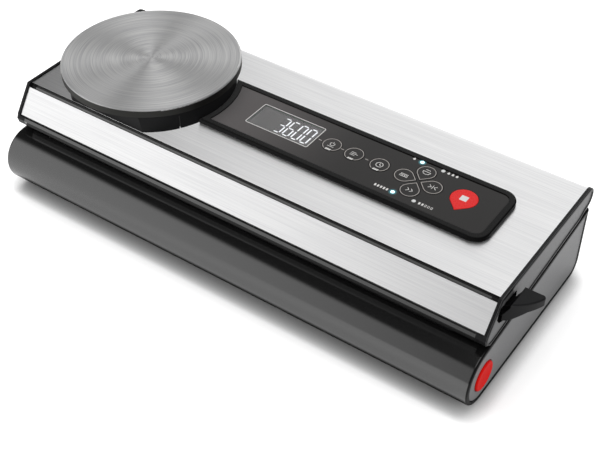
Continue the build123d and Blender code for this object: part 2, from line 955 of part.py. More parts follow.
with BuildPart() as pump_head:
    with BuildSketch(across(pump_head_x)):
        with Locations((pump_y, pump_z)):
            RectangleRounded(pump_head_side, pump_head_side, pump_head_corner)
    extrude(amount=pump_head_length)
    with BuildSketch(across(pump_head_x + chamber_wall)):
        with Locations((pump_y, pump_z)):
            Circle(chamber_r)
    extrude(amount=pump_head_length - 2 * chamber_wall, mode=Mode.SUBTRACT)
    with BuildSketch(across(pump_head_x)):
        with Locations((pump_y, pump_z)):
            Circle(crank_r + running_gap)
    extrude(amount=chamber_wall, mode=Mode.SUBTRACT)
    with BuildSketch(upright(pump_head_face, pump_port_x, pump_port_z)):
        Circle(nipple_r)
    extrude(amount=pump_port)
save(pump_head, "pump_head")

with BuildPart() as pump_crank:
    with BuildSketch(across(motor_end - crank_tail)):
        with Locations((pump_y, pump_z)):
            Circle(crank_r)
    extrude(amount=crank_length)
    with BuildSketch(across(crank_disc_x)):
        with Locations((pump_y, pump_z + crank_throw)):
            Circle(crank_disc_r)
    extrude(amount=crank_disc)
save(pump_crank, "pump_crank")

with BuildPart() as pump_bracket:
    with BuildSketch(level(post_foot, pump_bracket_x, pump_y)):
        Rectangle(pump_bracket_length, pump_bracket_width)
    extrude(amount=pump_bracket_plate)
    for saddle_x in saddles:
        with BuildSketch(across(saddle_x)):
            with Locations((pump_y, post_foot + saddle_height / 2)):
                Rectangle(saddle_width, saddle_height)
            with Locations((pump_y, pump_z)):
                Circle(motor_r, mode=Mode.SUBTRACT)
        extrude(amount=saddle_plate)
    with BuildSketch(level(post_foot + pump_bracket_plate, head_block_x, pump_y)):
        Rectangle(head_block_length, head_block_width)
    extrude(amount=pump_z - pump_head_side / 2 - post_foot - pump_bracket_plate)
save(pump_bracket, "pump_bracket")

# Release valve, vacuum switch and the two hoses
with BuildPart() as solenoid_valve:
    valve_face = valve_y - valve_side / 2
    with BuildSketch(level(post_foot, valve_port_x, valve_y)):
        Rectangle(valve_side, valve_side)
    extrude(amount=valve_height)
    fillet(solenoid_valve.edges().filter_by(Axis.Z), valve_corner)
    with BuildSketch(upright(valve_face, valve_port_x, valve_port_z)):
        Circle(nipple_r)
    extrude(amount=valve_port)
save(solenoid_valve, "solenoid_valve")

with BuildPart() as vacuum_switch:
    with BuildSketch(level(post_foot, *vacuum_switch_place)):
        Circle(vacuum_switch_r)
    extrude(amount=vacuum_switch_height)
    with BuildSketch(level(post_foot + vacuum_switch_height, *vacuum_switch_place)):
        Circle(nipple_r)
    extrude(amount=vacuum_switch_port)
save(vacuum_switch, "vacuum_switch")

hose_runs = [
    (pump_port_x, pump_port_z, pump_head_face - hose_gap),
    (valve_port_x, valve_port_z, valve_face - hose_gap),
]
with BuildPart() as vacuum_hose:
    for hose_x, hose_low, hose_end in hose_runs:
        with BuildLine() as run:
            FilletPolyline(
                (body_x + hose_x, trough_y, hose_top),
                (body_x + hose_x, trough_y, hose_low),
                (body_x + hose_x, hose_end, hose_low),
                radius=hose_bend,
            )
        with BuildSketch(Plane(run.line @ 0, z_dir=run.line % 0)):
            Circle(hose_r)
            Circle(nipple_r, mode=Mode.SUBTRACT)
        sweep()
save(vacuum_hose, "vacuum_hose")

# Power board on the cover's posts, its tall components and the transformer beside it
with BuildPart() as power_board:
    with BuildSketch(level(post_foot + power_post, *power_board_place)):
        Rectangle(power_board_length, power_board_width)
        with GridLocations(*power_post_pitch, 2, 2):
            Circle(power_hole_r, mode=Mode.SUBTRACT)
    extrude(amount=board_plate)
save(power_board, "power_board")

with BuildPart() as board_components:
    board_face = post_foot + power_post + board_plate
    for block_place, block_length, block_width, block_height in board_blocks:
        with BuildSketch(level(board_face, *block_place)):
            Rectangle(block_length, block_width)
        extrude(amount=block_height)
    with BuildSketch(level(board_face, *capacitor_place)):
        Circle(capacitor_r)
    extrude(amount=capacitor_height)
    with BuildSketch(level(board_face, *heat_sink_place)):
        Rectangle(heat_sink_length, heat_sink_plate)
        with GridLocations(fin_pitch, 0, fin_count, 1):
            Rectangle(fin_plate, fin_reach)
    extrude(amount=heat_sink_height)
save(board_components, "board_components")

with BuildPart() as transformer:
    with BuildSketch(level(post_foot, *transformer_place)):
        Rectangle(core_length, core_width)
    extrude(amount=core_height)
    with BuildSketch(level(post_foot + coil_lift, *transformer_place)):
        Rectangle(coil_length, coil_width)
    extrude(amount=coil_height)
    fillet(transformer.edges().filter_by(Axis.Z).group_by(Axis.Y)[0], coil_round)
save(transformer, "transformer")

# Mains inlet in the back wall, with its two pins
with BuildPart() as mains_inlet:
    with BuildSketch(upright(base_back, inlet_x, inlet_z)):
        RectangleRounded(inlet_length, inlet_height, inlet_corner)
    extrude(amount=socket_depth + inlet_back)
    with BuildSketch(upright(base_back - base_wall, inlet_x, inlet_z)):
        RectangleRounded(
            inlet_length + 2 * inlet_flange,
            inlet_height + 2 * inlet_flange,
            inlet_corner + inlet_flange,
        )
    extrude(amount=inlet_flange_plate)
    with BuildSketch(upright(base_back, inlet_x, inlet_z)):
        SlotOverall(socket_length, socket_height)
    extrude(amount=socket_depth, mode=Mode.SUBTRACT)
    with BuildSketch(upright(base_back - socket_depth, inlet_x, inlet_z)):
        with GridLocations(pin_pitch, 0, 2, 1):
            Circle(pin_r)
    extrude(amount=inlet_back, mode=Mode.SUBTRACT)
save(mains_inlet, "mains_inlet")

with BuildPart() as inlet_pins:
    with BuildSketch(upright(base_back - pin_sink, inlet_x, inlet_z)):
        with GridLocations(pin_pitch, 0, 2, 1):
            Circle(pin_r)
    extrude(amount=pin_length)
    fillet(inlet_pins.edges().group_by(Axis.Y)[-1], pin_round)
save(inlet_pins, "inlet_pins")

# Lid shell: a hollow section with hinge slots, shaft bearings, bosses and the panel window
with BuildPart() as lid_shell:
    extrude(lid_section(-lid_half, 0), amount=2 * lid_half)
    inner_break = lid_break(-lid_wall)
    inner_foot = lid_foot(-lid_wall)
    with BuildSketch(across(-lid_half)):
        with BuildLine():
            Polyline(
                (skirt_inner_y, shell_hollow_low),
                (skirt_inner_y, skirt_step_low),
                (inner_foot[0], skirt_step_high),
                inner_foot,
                inner_break,
                (lid_bar_y, inner_break[1]),
                (lid_bar_y, shell_hollow_low),
                close=True,
            )
        make_face()
    extrude(amount=2 * lid_half, mode=Mode.SUBTRACT)
    extrude(panel_groove(-lid_half), amount=2 * lid_half, mode=Mode.SUBTRACT)
    for boss_place in lid_bosses:
        boss_foot = deck_z(boss_place[1]) + lid_gap + cover_plate + boss_gap
        with BuildSketch(level(boss_foot, *boss_place)):
            Circle(boss_r)
            Circle(screw_r, mode=Mode.SUBTRACT)
        extrude(amount=shell_top - lid_wall - boss_foot)
    for bearing_x in (-bearing_place, bearing_place):
        with BuildSketch(across(bearing_x - bearing_plate / 2)):
            with Locations((lever_y, lever_z - bearing_drop)):
                Rectangle(
                    bearing_width,
                    shell_top - 2 - lever_z + bearing_drop,
                    align=(Align.CENTER, Align.MIN),
                )
            with Locations((lever_y, lever_z)):
                Circle(shaft_r + running_gap, mode=Mode.SUBTRACT)
        extrude(amount=bearing_plate)
    board_boss_pitch = (
        board_length - 2 * board_boss_inset[0],
        board_width - 2 * board_boss_inset[1],
    )
    with BuildSketch(level(board_top)):
        with Locations((board_x, board_y)):
            with GridLocations(*board_boss_pitch, 2, 2):
                Circle(board_boss_r)
    extrude(amount=shell_top - overcut - board_top)
    with BuildSketch(level(cell_top)):
        with Locations((platter_x - (cell_length - cell_foot) / 2, platter_y)):
            Rectangle(cell_foot, cell_side)
    extrude(amount=shell_top - overcut - cell_top)
    extrude(control_window(shell_top), amount=-lid_wall - overcut, mode=Mode.SUBTRACT)
    with BuildSketch(level(shell_top, post_x, platter_y)):
        Circle(post_hole_r)
    extrude(amount=-lid_wall - overcut, mode=Mode.SUBTRACT)
    slot_rim = [back_point(hinge_slot_reach, radians(turn)) for turn in hinge_slot_turns]
    for side in (-1, 1):
        with BuildSketch(across(side * hinge_x - hinge_slot / 2)):
            with Locations((hinge_y, hinge_z)):
                Circle(hinge_slot_r)
            with BuildLine():
                Polyline((hinge_y, hinge_z), *slot_rim, close=True)
            make_face()
        extrude(amount=hinge_slot, mode=Mode.SUBTRACT)
        with BuildSketch(across(side * hinge_x - hinge_pin_length / 2 - overcut)):
            with Locations((hinge_y, hinge_z)):
                Circle(hinge_pin_r + running_gap)
        extrude(amount=hinge_pin_length + 2 * overcut, mode=Mode.SUBTRACT)
save(lid_shell, "lid_shell")

# End caps of the lid: a proud rim round a recessed face, and a step that the sheets cover
for side, cap_name in ((-1, "lid_end_cap_left"), (1, "lid_end_cap_right")):
    with BuildPart() as lid_end_cap:
        extrude(lid_section(side * (half_length - cap_rim_plate), rim), amount=side * cap_rim_plate)
        outer_face = lid_end_cap.faces().sort_by(Axis.X, reverse=side < 0)[-1]
        fillet(outer_face.edges(), cap_round)
        extrude(lid_section(side * lid_half, 0), amount=side * (cap_plate - cap_rim_plate))
        extrude(
            panel_groove(side * lid_half),
            amount=side * (cap_plate - cap_rim_plate),
            mode=Mode.SUBTRACT,
        )
        extrude(
            lid_section(side * half_length, rim - cap_border, cap_border),
            amount=-side * cap_recess,
            mode=Mode.SUBTRACT,
        )
        with BuildSketch(across(side * lid_half)):
            with Locations((cap_tongue_y, cap_tongue_z)):
                Rectangle(cap_tongue_length, cap_tongue_height)
        extrude(amount=-side * cap_tongue_reach)
        with BuildSketch(across(side * lid_half)):
            with Locations((lever_y, lever_z)):
                Circle(shaft_r + running_gap)
        extrude(amount=side * cap_bore, mode=Mode.SUBTRACT)
        if side > 0:
            with BuildSketch(across(half_length)) as pocket:
                with BuildLine():
                    Polyline(*pocket_outline, close=True)
                make_face()
                fillet(pocket.vertices(), pocket_round)
            extrude(amount=-pocket_depth, mode=Mode.SUBTRACT)
    save(lid_end_cap, cap_name)

# Steel sheets on the lid's top and on its front slope
with BuildPart() as top_panel:
    wrap_half = (top_panel_wrap + radians(90)) / 2
    inner_r = shell_round_r
    outer_r = shell_round_r + sheet
    inner_end = back_point(inner_r, top_panel_wrap)
    outer_end = back_point(outer_r, top_panel_wrap)
    with BuildSketch(across(-panel_half)):
        with BuildLine():
            Polyline(
                (hinge_y, shell_top),
                (top_panel_front, shell_top),
                (top_panel_front, steel_top),
                (hinge_y, steel_top),
            )
            ThreePointArc((hinge_y, steel_top), back_point(outer_r, wrap_half), outer_end)
            Line(outer_end, inner_end)
            ThreePointArc(inner_end, back_point(inner_r, wrap_half), (hinge_y, shell_top))
        make_face()
    extrude(amount=2 * panel_half)
    extrude(control_window(steel_top), amount=-sheet, mode=Mode.SUBTRACT)
    with BuildSketch(level(steel_top, post_x, platter_y)):
        Circle(post_hole_r)
    extrude(amount=-sheet, mode=Mode.SUBTRACT)
save(top_panel, "top_panel")

with BuildPart() as front_panel:
    with BuildSketch(across(-panel_half)):
        with BuildLine():
            Polyline(
                slope_point(front_groove, 0),
                slope_point(front_length, 0),
                slope_point(front_length, sheet),
                slope_point(front_groove, sheet),
                close=True,
            )
        make_face()
    extrude(amount=2 * panel_half)
save(front_panel, "front_panel")

# Cover inside the lid, with the seats of the upper gasket and the pressure strip
with BuildPart() as lid_inner_cover:
    with BuildSketch(on_deck(lid_gap, y=(skirt_inner_y + lid_bar_y) / 2)):
        Rectangle(2 * (lid_half - cover_end_gap), lid_bar_y - skirt_inner_y - 2 * cover_side_gap)
    extrude(amount=cover_plate)
    extrude(
        ring_on_deck(lid_gap, gasket_width + 2 * gasket_gap),
        amount=gasket_seat,
        mode=Mode.SUBTRACT,
    )
    extrude(tray_face(lid_gap, 0), amount=gasket_seat, mode=Mode.SUBTRACT)
    with BuildSketch(on_deck(lid_gap, y=heat_y)):
        Rectangle(heat_length + 2 * gasket_gap, pressure_strip_width + 2 * gasket_gap)
    extrude(amount=gasket_seat, mode=Mode.SUBTRACT)
    with BuildSketch(on_deck(lid_gap, y=cover_slot_y)):
        with GridLocations(2 * hook_x, 0, 2, 1):
            Rectangle(hook_plate + 2 * hook_gap, cover_slot_reach)
    extrude(amount=cover_plate, mode=Mode.SUBTRACT)
    for hole_place in lid_bosses:
        hole_foot = deck_z(hole_place[1]) + lid_gap
        with BuildSketch(level(hole_foot - overcut, *hole_place)):
            Circle(screw_seat_r)
        extrude(amount=overcut + boss_gap + screw_head, mode=Mode.SUBTRACT)
        with BuildSketch(level(hole_foot, *hole_place)):
            Circle(screw_r + screw_gap)
        extrude(amount=cover_plate + 2 * overcut, mode=Mode.SUBTRACT)
save(lid_inner_cover, "lid_inner_cover")

with BuildPart() as lid_screws:
    for screw_place in lid_bosses:
        head_foot = deck_z(screw_place[1]) + lid_gap + boss_gap
        with BuildSketch(level(head_foot, *screw_place)):
            Circle(screw_head_r)
        extrude(amount=screw_head)
        with BuildSketch(level(head_foot + screw_head, *screw_place)):
            Circle(screw_r)
        extrude(amount=pilot_depth)
        extrude(cross_face(head_foot, [screw_place]), amount=cross_depth, mode=Mode.SUBTRACT)
save(lid_screws, "lid_screws")

with BuildPart() as upper_gasket:
    extrude(
        ring_on_deck(upper_gasket_low, gasket_width),
        amount=lid_gap + gasket_seat - upper_gasket_low,
    )
    fillet(upper_gasket.faces().sort_by(Axis.Z)[0].edges(), gasket_round)
save(upper_gasket, "upper_gasket")

with BuildPart() as pressure_strip:
    with BuildSketch(on_deck(pressure_strip_low, y=heat_y)):
        Rectangle(heat_length, pressure_strip_width)
    extrude(amount=lid_gap + gasket_seat - pressure_strip_low)
save(pressure_strip, "pressure_strip")

# Control panel: bezel, overlay, display, keys, lamps and the board that carries them
with BuildPart() as control_bezel:
    extrude(bezel_face(steel_top, 0), amount=bezel_height)
    fillet(control_bezel.faces().sort_by(Axis.Z)[-1].edges(), bezel_round)
    extrude(bezel_face(overlay_low, bezel_rim), amount=bezel_height, mode=Mode.SUBTRACT)
    extrude(control_window(steel_top), amount=bezel_height, mode=Mode.SUBTRACT)
save(control_bezel, "control_bezel")

with BuildPart() as control_overlay:
    extrude(bezel_face(overlay_low, bezel_rim + overlay_gap), amount=overlay_plate)
    with BuildSketch(level(overlay_low)):
        with Locations((display_x, controls_y)):
            RectangleRounded(
                display_length + 2 * display_gap,
                display_width + 2 * display_gap,
                display_corner + display_gap,
            )
        with Locations(*lamps):
            Circle(lamp_r)
    extrude(amount=overlay_plate, mode=Mode.SUBTRACT)
    for _, x, y, radius, point in keys:
        extrude(
            key_face(overlay_low, x, y, radius + key_gap, point),
            amount=overlay_plate,
            mode=Mode.SUBTRACT,
        )
save(control_overlay, "control_overlay")

with BuildPart() as display_window:
    with BuildSketch(level(overlay_low - display_sink, display_x, controls_y)):
        RectangleRounded(display_length, display_width, display_corner)
    extrude(amount=overlay_plate + display_sink)
save(display_window, "display_window")

with BuildPart() as display_module:
    with BuildSketch(level(board_top, display_x, controls_y)):
        Rectangle(display_length - 2 * display_border, display_width - 2 * display_border)
    extrude(amount=overlay_low - 2 * display_sink - board_top)
save(display_module, "display_module")

with BuildPart() as control_board:
    with BuildSketch(level(board_top - board_plate)):
        with Locations((board_x, board_y)):
            Rectangle(board_length, board_width)
    extrude(amount=board_plate)
save(control_board, "control_board")

with BuildPart() as key_switches:
    for _, x, y, _, _ in keys:
        with BuildSketch(level(board_top, x, y)):
            Rectangle(switch_side, switch_side)
        extrude(amount=switch_top - board_top - switch_cap)
        with BuildSketch(level(switch_top - switch_cap, x, y)):
            Circle(switch_cap_r)
        extrude(amount=switch_cap)
save(key_switches, "key_switches")

with BuildPart() as indicator_lamps:
    with BuildSketch(level(board_top)):
        with Locations(*lamps):
            Circle(lamp_r)
    extrude(amount=overlay_top - board_top)
save(indicator_lamps, "indicator_lamps")

for key_name, x, y, radius, point in keys:
    with BuildPart() as key:
        flange_low = overlay_low - key_flange_drop
        skirt_low = overlay_low - key_skirt
        extrude(key_face(skirt_low, x, y, radius, point), amount=key_top - skirt_low)
        fillet(key.faces().sort_by(Axis.Z)[-1].edges(), key_round)
        extrude(
            key_face(flange_low, x, y, radius + key_flange, point),
            amount=skirt_low - flange_low,
        )
        with BuildSketch(level(stem_low, x, y)):
            Circle(key_stem_r)
        extrude(amount=flange_low - stem_low)
    save(key, key_name)

# Weighing platter: pedestal on the lid, load cell below it, carrier and steel disc
with BuildPart() as scale_pedestal:
    with BuildSketch(level(steel_top, platter_x, platter_y)):
        Circle(pedestal_r)
    with BuildSketch(level(pedestal_top, platter_x, platter_y)):
        Circle(pedestal_top_r)
    loft()
    with BuildSketch(level(steel_top, platter_x, platter_y)):
        Circle(pedestal_top_r - pedestal_wall)
    extrude(amount=pedestal_top - steel_top - pedestal_wall, mode=Mode.SUBTRACT)
    with BuildSketch(level(steel_top, platter_x, pedestal_front)):
        Rectangle(2 * pedestal_r, 2 * pedestal_r, align=(Align.CENTER, Align.MAX))
    extrude(amount=pedestal_top - steel_top, mode=Mode.SUBTRACT)
    with BuildSketch(level(steel_top, platter_x)):
        with Locations((0, pedestal_front + pedestal_wall / 2)):
            Rectangle(pedestal_front_length, pedestal_wall)
    extrude(amount=pedestal_top - steel_top)
    with BuildSketch(level(pedestal_top, post_x, platter_y)):
        Circle(post_hole_r)
    extrude(amount=-pedestal_wall - overcut, mode=Mode.SUBTRACT)
    fillet(scale_pedestal.faces().sort_by(Axis.Z)[-1].outer_wire().edges(), pedestal_round)
    for seam_turn in seam_turns:
        with BuildSketch(level(steel_top, platter_x, platter_y)):
            with PolarLocations(seam_inner_r, 1, start_angle=seam_turn):
                Rectangle(pedestal_r, seam_width, align=(Align.MIN, Align.CENTER))
        extrude(amount=pedestal_top - steel_top - pedestal_wall, mode=Mode.SUBTRACT)
save(scale_pedestal, "scale_pedestal")

with BuildPart() as load_cell:
    with BuildSketch(upright(platter_y + cell_side / 2, platter_x, cell_top - cell_side / 2)):
        Rectangle(cell_length, cell_side)
        with GridLocations(cell_eye_pitch, 0, 2, 1):
            Circle(cell_eye_r, mode=Mode.SUBTRACT)
        Rectangle(cell_eye_pitch, cell_slit, mode=Mode.SUBTRACT)
    extrude(amount=cell_side)
save(load_cell, "load_cell")

with BuildPart() as platter_carrier:
    with BuildSketch(level(cell_top, post_x, platter_y)):
        Circle(post_r)
    extrude(amount=arm_low - cell_top)
    with BuildSketch(level(arm_low, platter_x, platter_y)):
        Rectangle(2 * arm_reach, arm_width)
        Rectangle(arm_width, 2 * arm_reach)
    extrude(amount=arm_plate)
    with BuildSketch(level(arm_low + arm_plate, platter_x, platter_y)):
        with PolarLocations(arm_reach - pad_inset, 4):
            Circle(pad_r)
    extrude(amount=platter_top - platter_sheet - platter_rest - arm_low - arm_plate)
save(platter_carrier, "platter_carrier")

with BuildPart() as platter_disc:
    with BuildSketch(level(platter_top - platter_skirt, platter_x, platter_y)):
        Circle(platter_r)
    extrude(amount=platter_skirt)
    fillet(platter_disc.edges().sort_by(Axis.Z)[-1], platter_round)
    with BuildSketch(level(platter_top - platter_skirt, platter_x, platter_y)):
        Circle(platter_r - platter_sheet)
    extrude(amount=platter_skirt - platter_sheet, mode=Mode.SUBTRACT)
save(platter_disc, "platter_disc")

# Locking lever with its blade outside the cap, its shaft and the two hooks, all swung open
with BuildPart() as latch_lever:
    with BuildSketch(level(blade_low)):
        with BuildLine():
            Polyline(blade_edge[-1], (blade_root, blade_back), blade_tip[0])
            ThreePointArc(*blade_tip)
            ThreePointArc(*blade_edge)
        make_face()
    extrude(amount=lever_top - blade_low)
    with BuildSketch(upright(0)):
        with BuildLine():
            Polyline(*blade_front, close=True)
        make_face()
    extrude(amount=half_length, mode=Mode.INTERSECT)
    fillet(latch_lever.faces().sort_by(Axis.Z)[-1].edges(), blade_round)
    with BuildSketch(across(lever_inner)):
        with Locations((lever_y, lever_z)):
            Circle(lever_hub_r)
    extrude(amount=lever_hub_end - lever_inner)
    with BuildSketch(across(lever_inner)):
        with Locations((lever_y, lever_z)):
            Rectangle(lever_neck_width, lever_neck_height, align=(Align.CENTER, Align.MIN))
    extrude(amount=blade_root + blade_lap - lever_inner)
    with BuildSketch(across(lever_inner)):
        with Locations((lever_y, lever_z)):
            Circle(shaft_r)
    extrude(amount=shaft_seat, mode=Mode.SUBTRACT)
save(latch_lever, "latch_lever")

with BuildPart() as latch_shaft:
    with BuildSketch(across(shaft_left)):
        with Locations((lever_y, lever_z)):
            Circle(shaft_r)
    extrude(amount=lever_inner + shaft_seat - shaft_left)
save(latch_shaft, "latch_shaft")

with BuildPart() as latch_hooks:
    for side in (-1, 1):
        hook_plane = Plane(
            (body_x + side * hook_x - hook_plate / 2, lever_y, lever_z),
            x_dir=(0, cos(lever_swing), -sin(lever_swing)),
            z_dir=(1, 0, 0),
        )
        with BuildSketch(hook_plane):
            Circle(hook_hub_r)
            with BuildLine():
                Polyline(*hook_outline, close=True)
            make_face()
            Circle(shaft_r, mode=Mode.SUBTRACT)
        extrude(amount=hook_plate)
save(latch_hooks, "latch_hooks")
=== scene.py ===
# %% [markdown]
# # A countertop vacuum sealer
# The real machine is a long black base with a steel-topped lid hinged along its back. A touch
# panel and a weighing platter sit on the lid, a locking lever and a red release button on the
# right end. The parts with exact sizes come from a CAD model, already in place. This notebook
# gives each of them its finish, adds what is printed, glowing or soft, and sets light and camera.

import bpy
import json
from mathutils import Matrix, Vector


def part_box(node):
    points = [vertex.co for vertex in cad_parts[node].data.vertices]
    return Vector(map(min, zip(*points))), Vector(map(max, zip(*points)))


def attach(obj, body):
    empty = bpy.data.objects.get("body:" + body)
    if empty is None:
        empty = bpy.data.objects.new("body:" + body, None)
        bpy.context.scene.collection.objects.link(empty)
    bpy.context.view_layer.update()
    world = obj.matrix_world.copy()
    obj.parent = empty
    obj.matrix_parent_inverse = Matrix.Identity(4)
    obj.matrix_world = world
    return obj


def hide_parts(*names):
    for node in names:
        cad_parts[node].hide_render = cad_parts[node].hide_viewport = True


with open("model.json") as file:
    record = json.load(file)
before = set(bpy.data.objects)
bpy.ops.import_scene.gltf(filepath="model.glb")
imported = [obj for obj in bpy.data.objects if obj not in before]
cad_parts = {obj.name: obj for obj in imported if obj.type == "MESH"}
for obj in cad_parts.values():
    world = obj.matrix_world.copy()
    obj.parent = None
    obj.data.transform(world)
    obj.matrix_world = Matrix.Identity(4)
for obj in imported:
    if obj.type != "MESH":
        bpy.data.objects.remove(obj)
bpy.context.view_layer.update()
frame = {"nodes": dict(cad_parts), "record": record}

# %% [markdown]
# Everything below needs a few more modules, and one way to say where things are. The CAD model
# is in metres, but the makers of such a machine think in millimetres, measured from the middle
# of the casing. The lever sticks out on the right, so the casing's middle isn't the frame's.

# %% Lengths
import json
from math import cos, pi, radians, sin, tan

import bmesh
import bpy
from mathutils import Vector, noise

scene = bpy.context.scene
MM = 0.001
shell_low, shell_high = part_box("base_shell")
CASING_X = (shell_low.x + shell_high.x) / 2


def spot(x, y, z):
    """A point of the casing in millimetres, as metres in the frame."""
    return Vector((CASING_X + x * MM, y * MM, z * MM))


print("casing:", [round(side / MM, 1) for side in shell_high - shell_low], "mm")

# %% [markdown]
# ## Camera
# The picture looks down on the machine from its front right corner. A lens of about 70 mm keeps
# the far end only a little smaller than the near one, as in most product pictures.

# %% Camera
CAMERA_PLACE = Vector((0.3655, -0.51285, 0.5714))
CAMERA_AZIMUTH = radians(35.04)
CAMERA_ELEVATION = radians(41.91)
CAMERA_LENS = 68.2

camera_data = bpy.data.cameras.new("camera")
camera_data.lens = CAMERA_LENS
camera_data.sensor_width = 36
camera = bpy.data.objects.new("camera", camera_data)
scene.collection.objects.link(camera)
looking = Vector((
    -sin(CAMERA_AZIMUTH) * cos(CAMERA_ELEVATION),
    cos(CAMERA_AZIMUTH) * cos(CAMERA_ELEVATION),
    -sin(CAMERA_ELEVATION),
))
camera.location = CAMERA_PLACE
camera.rotation_euler = looking.to_track_quat("-Z", "Y").to_euler()
scene.camera = camera
scene.view_settings.view_transform = "Standard"
print("camera looks along", [round(part, 2) for part in looking])

# %% [markdown]
# ## Two helpers for materials
# Colours are written as the hex codes that any paint program shows. Blender works with linear
# light, so one function turns the first into the second. The other function adds a node to a
# material, sets what it is told to set and links what it is told to link.

# %% Helpers for colours and nodes
def linear(code):
    """Linear RGBA of a hex colour such as #808080."""
    parts = [int(code[i:i + 2], 16) / 255 for i in (1, 3, 5)]
    return (*[p / 12.92 if p <= 0.04045 else ((p + 0.055) / 1.055) ** 2.4 for p in parts], 1.0)


def add(tree, kind, inputs=(), **settings):
    """Adds a node. inputs maps a socket to a value or to another node's output."""
    node = tree.nodes.new(kind)
    for setting, value in settings.items():
        setattr(node, setting, value)
    for socket, value in dict(inputs).items():
        if isinstance(value, bpy.types.NodeSocket):
            tree.links.new(value, node.inputs[socket])
        else:
            node.inputs[socket].default_value = value
    return node


print("mid grey in linear light:", round(linear("#808080")[0], 3))

# %% [markdown]
# ## Studio
# The machine stands on a white sweep, and to the eye the room behind it is white as well. What
# the machine mirrors is another matter. In a studio the walls are dark and only lit screens are
# bright: one behind the machine, which the lid's steel shows, a wide one in front, which the
# steel slope and the round nose show, and one overhead, which lights two wedges of the platter.
# Black plastic stays black and steel keeps its contrast only because of what they don't mirror.
# The light that the room throws on dull surfaces is even and soft.

# %% Room
ROOM_LIGHT = 0.42
DARK_WALL = 0.04
# Each edge is where a screen begins and where it is full, as a share of a direction's length to
# the right, to the back or upward. Each light is the brightness at those two edges.
BACK_SCREEN_EDGE = (0.02, 0.70)
BACK_SCREEN_LIGHT = (0.0, 1.17)
BACK_SCREEN_LEFT = (-0.60, -0.55)
BACK_SCREEN_RIGHT = (0.04, -0.18)
OVERHEAD_SCREEN_EDGE = (0.78, 0.92)
OVERHEAD_SCREEN_LEFT = (-0.25, -0.12)
OVERHEAD_SCREEN_LIGHT = (0.0, 1.05)
LEFT_WALL_EDGE = (-0.72, -0.85)
LEFT_WALL_LIGHT = (0.0, 0.45)
FRONT_SCREEN_EDGE = (-0.10, -0.40)
FRONT_SCREEN_TOP = (0.84, 0.68)
FRONT_SCREEN_RIGHT = (0.0, -0.60)
FRONT_SCREEN_LIGHT = (0.26, 1.19)

world = bpy.data.worlds.new("studio")
world.use_nodes = True
scene.world = world
room = world.node_tree
room.nodes.clear()
toward = add(room, "ShaderNodeTexCoord").outputs["Generated"]
sideways, backward, upward = add(room, "ShaderNodeSeparateXYZ", {0: toward}).outputs


def fade(part, edge, light=(0.0, 1.0)):
    """Brightness that changes while one part of the direction goes from edge to edge."""
    return add(room, "ShaderNodeMapRange",
               {"Value": part, "From Min": edge[0], "From Max": edge[1],
                "To Min": light[0], "To Max": light[1]}, interpolation_type="SMOOTHSTEP").outputs[0]


def combine(tree, one, other, how):
    """Two values made into one."""
    return add(tree, "ShaderNodeMath", {0: one, 1: other}, operation=how).outputs[0]


def screen(light, *edges):
    """Brightness of a screen that its edges cut off."""
    for edge in edges:
        light = combine(room, light, edge, "MULTIPLY")
    return light


back = screen(fade(backward, BACK_SCREEN_EDGE, BACK_SCREEN_LIGHT),
              fade(sideways, BACK_SCREEN_LEFT), fade(sideways, BACK_SCREEN_RIGHT))
overhead = screen(fade(upward, OVERHEAD_SCREEN_EDGE, OVERHEAD_SCREEN_LIGHT),
                  fade(sideways, OVERHEAD_SCREEN_LEFT))
front = screen(fade(sideways, FRONT_SCREEN_RIGHT, FRONT_SCREEN_LIGHT),
               fade(backward, FRONT_SCREEN_EDGE), fade(upward, FRONT_SCREEN_TOP))
walls = DARK_WALL
for lit_wall in (back, overhead, front, fade(sideways, LEFT_WALL_EDGE, LEFT_WALL_LIGHT)):
    walls = combine(room, lit_wall, walls, "MAXIMUM")
rays = add(room, "ShaderNodeLightPath").outputs
mirrored = combine(room, rays["Is Glossy Ray"], rays["Is Transmission Ray"], "MAXIMUM")
light = add(room, "ShaderNodeMix", {0: mirrored, 2: ROOM_LIGHT, 3: walls}).outputs[0]
light = add(room, "ShaderNodeMix", {0: rays["Is Camera Ray"], 2: light, 3: 1.0}).outputs[0]
sky = add(room, "ShaderNodeBackground", {"Color": linear("#FFFFFF"), "Strength": light})
add(room, "ShaderNodeOutputWorld", {"Surface": sky.outputs[0]})
print("room light on dull surfaces:", ROOM_LIGHT)

# %% [markdown]
# The floor is white paper, lit until it is as white as the page. Only right beside the machine,
# where the machine keeps the room's light off it, does it darken. How much of the room a point
# of the floor can see is its ambient occlusion, and the glow follows that: a short deep shade
# where the machine touches down, and a wide faint one round it. In the machine's black nose the
# paper is mirrored a little brighter, as paper that a picture shows as white really is.

# %% Floor
FLOOR_SIDE = 6.0
FLOOR_GLOW = 0.95
PAPER = "#C8C8C8"
# Each shade is how far it reaches in metres and how deep it is.
SHADES = ((0.013, 2.8), (0.080, 0.8))
MIRRORED_GLOW = 1.2
MIRRORED_DEPTH = 1.7

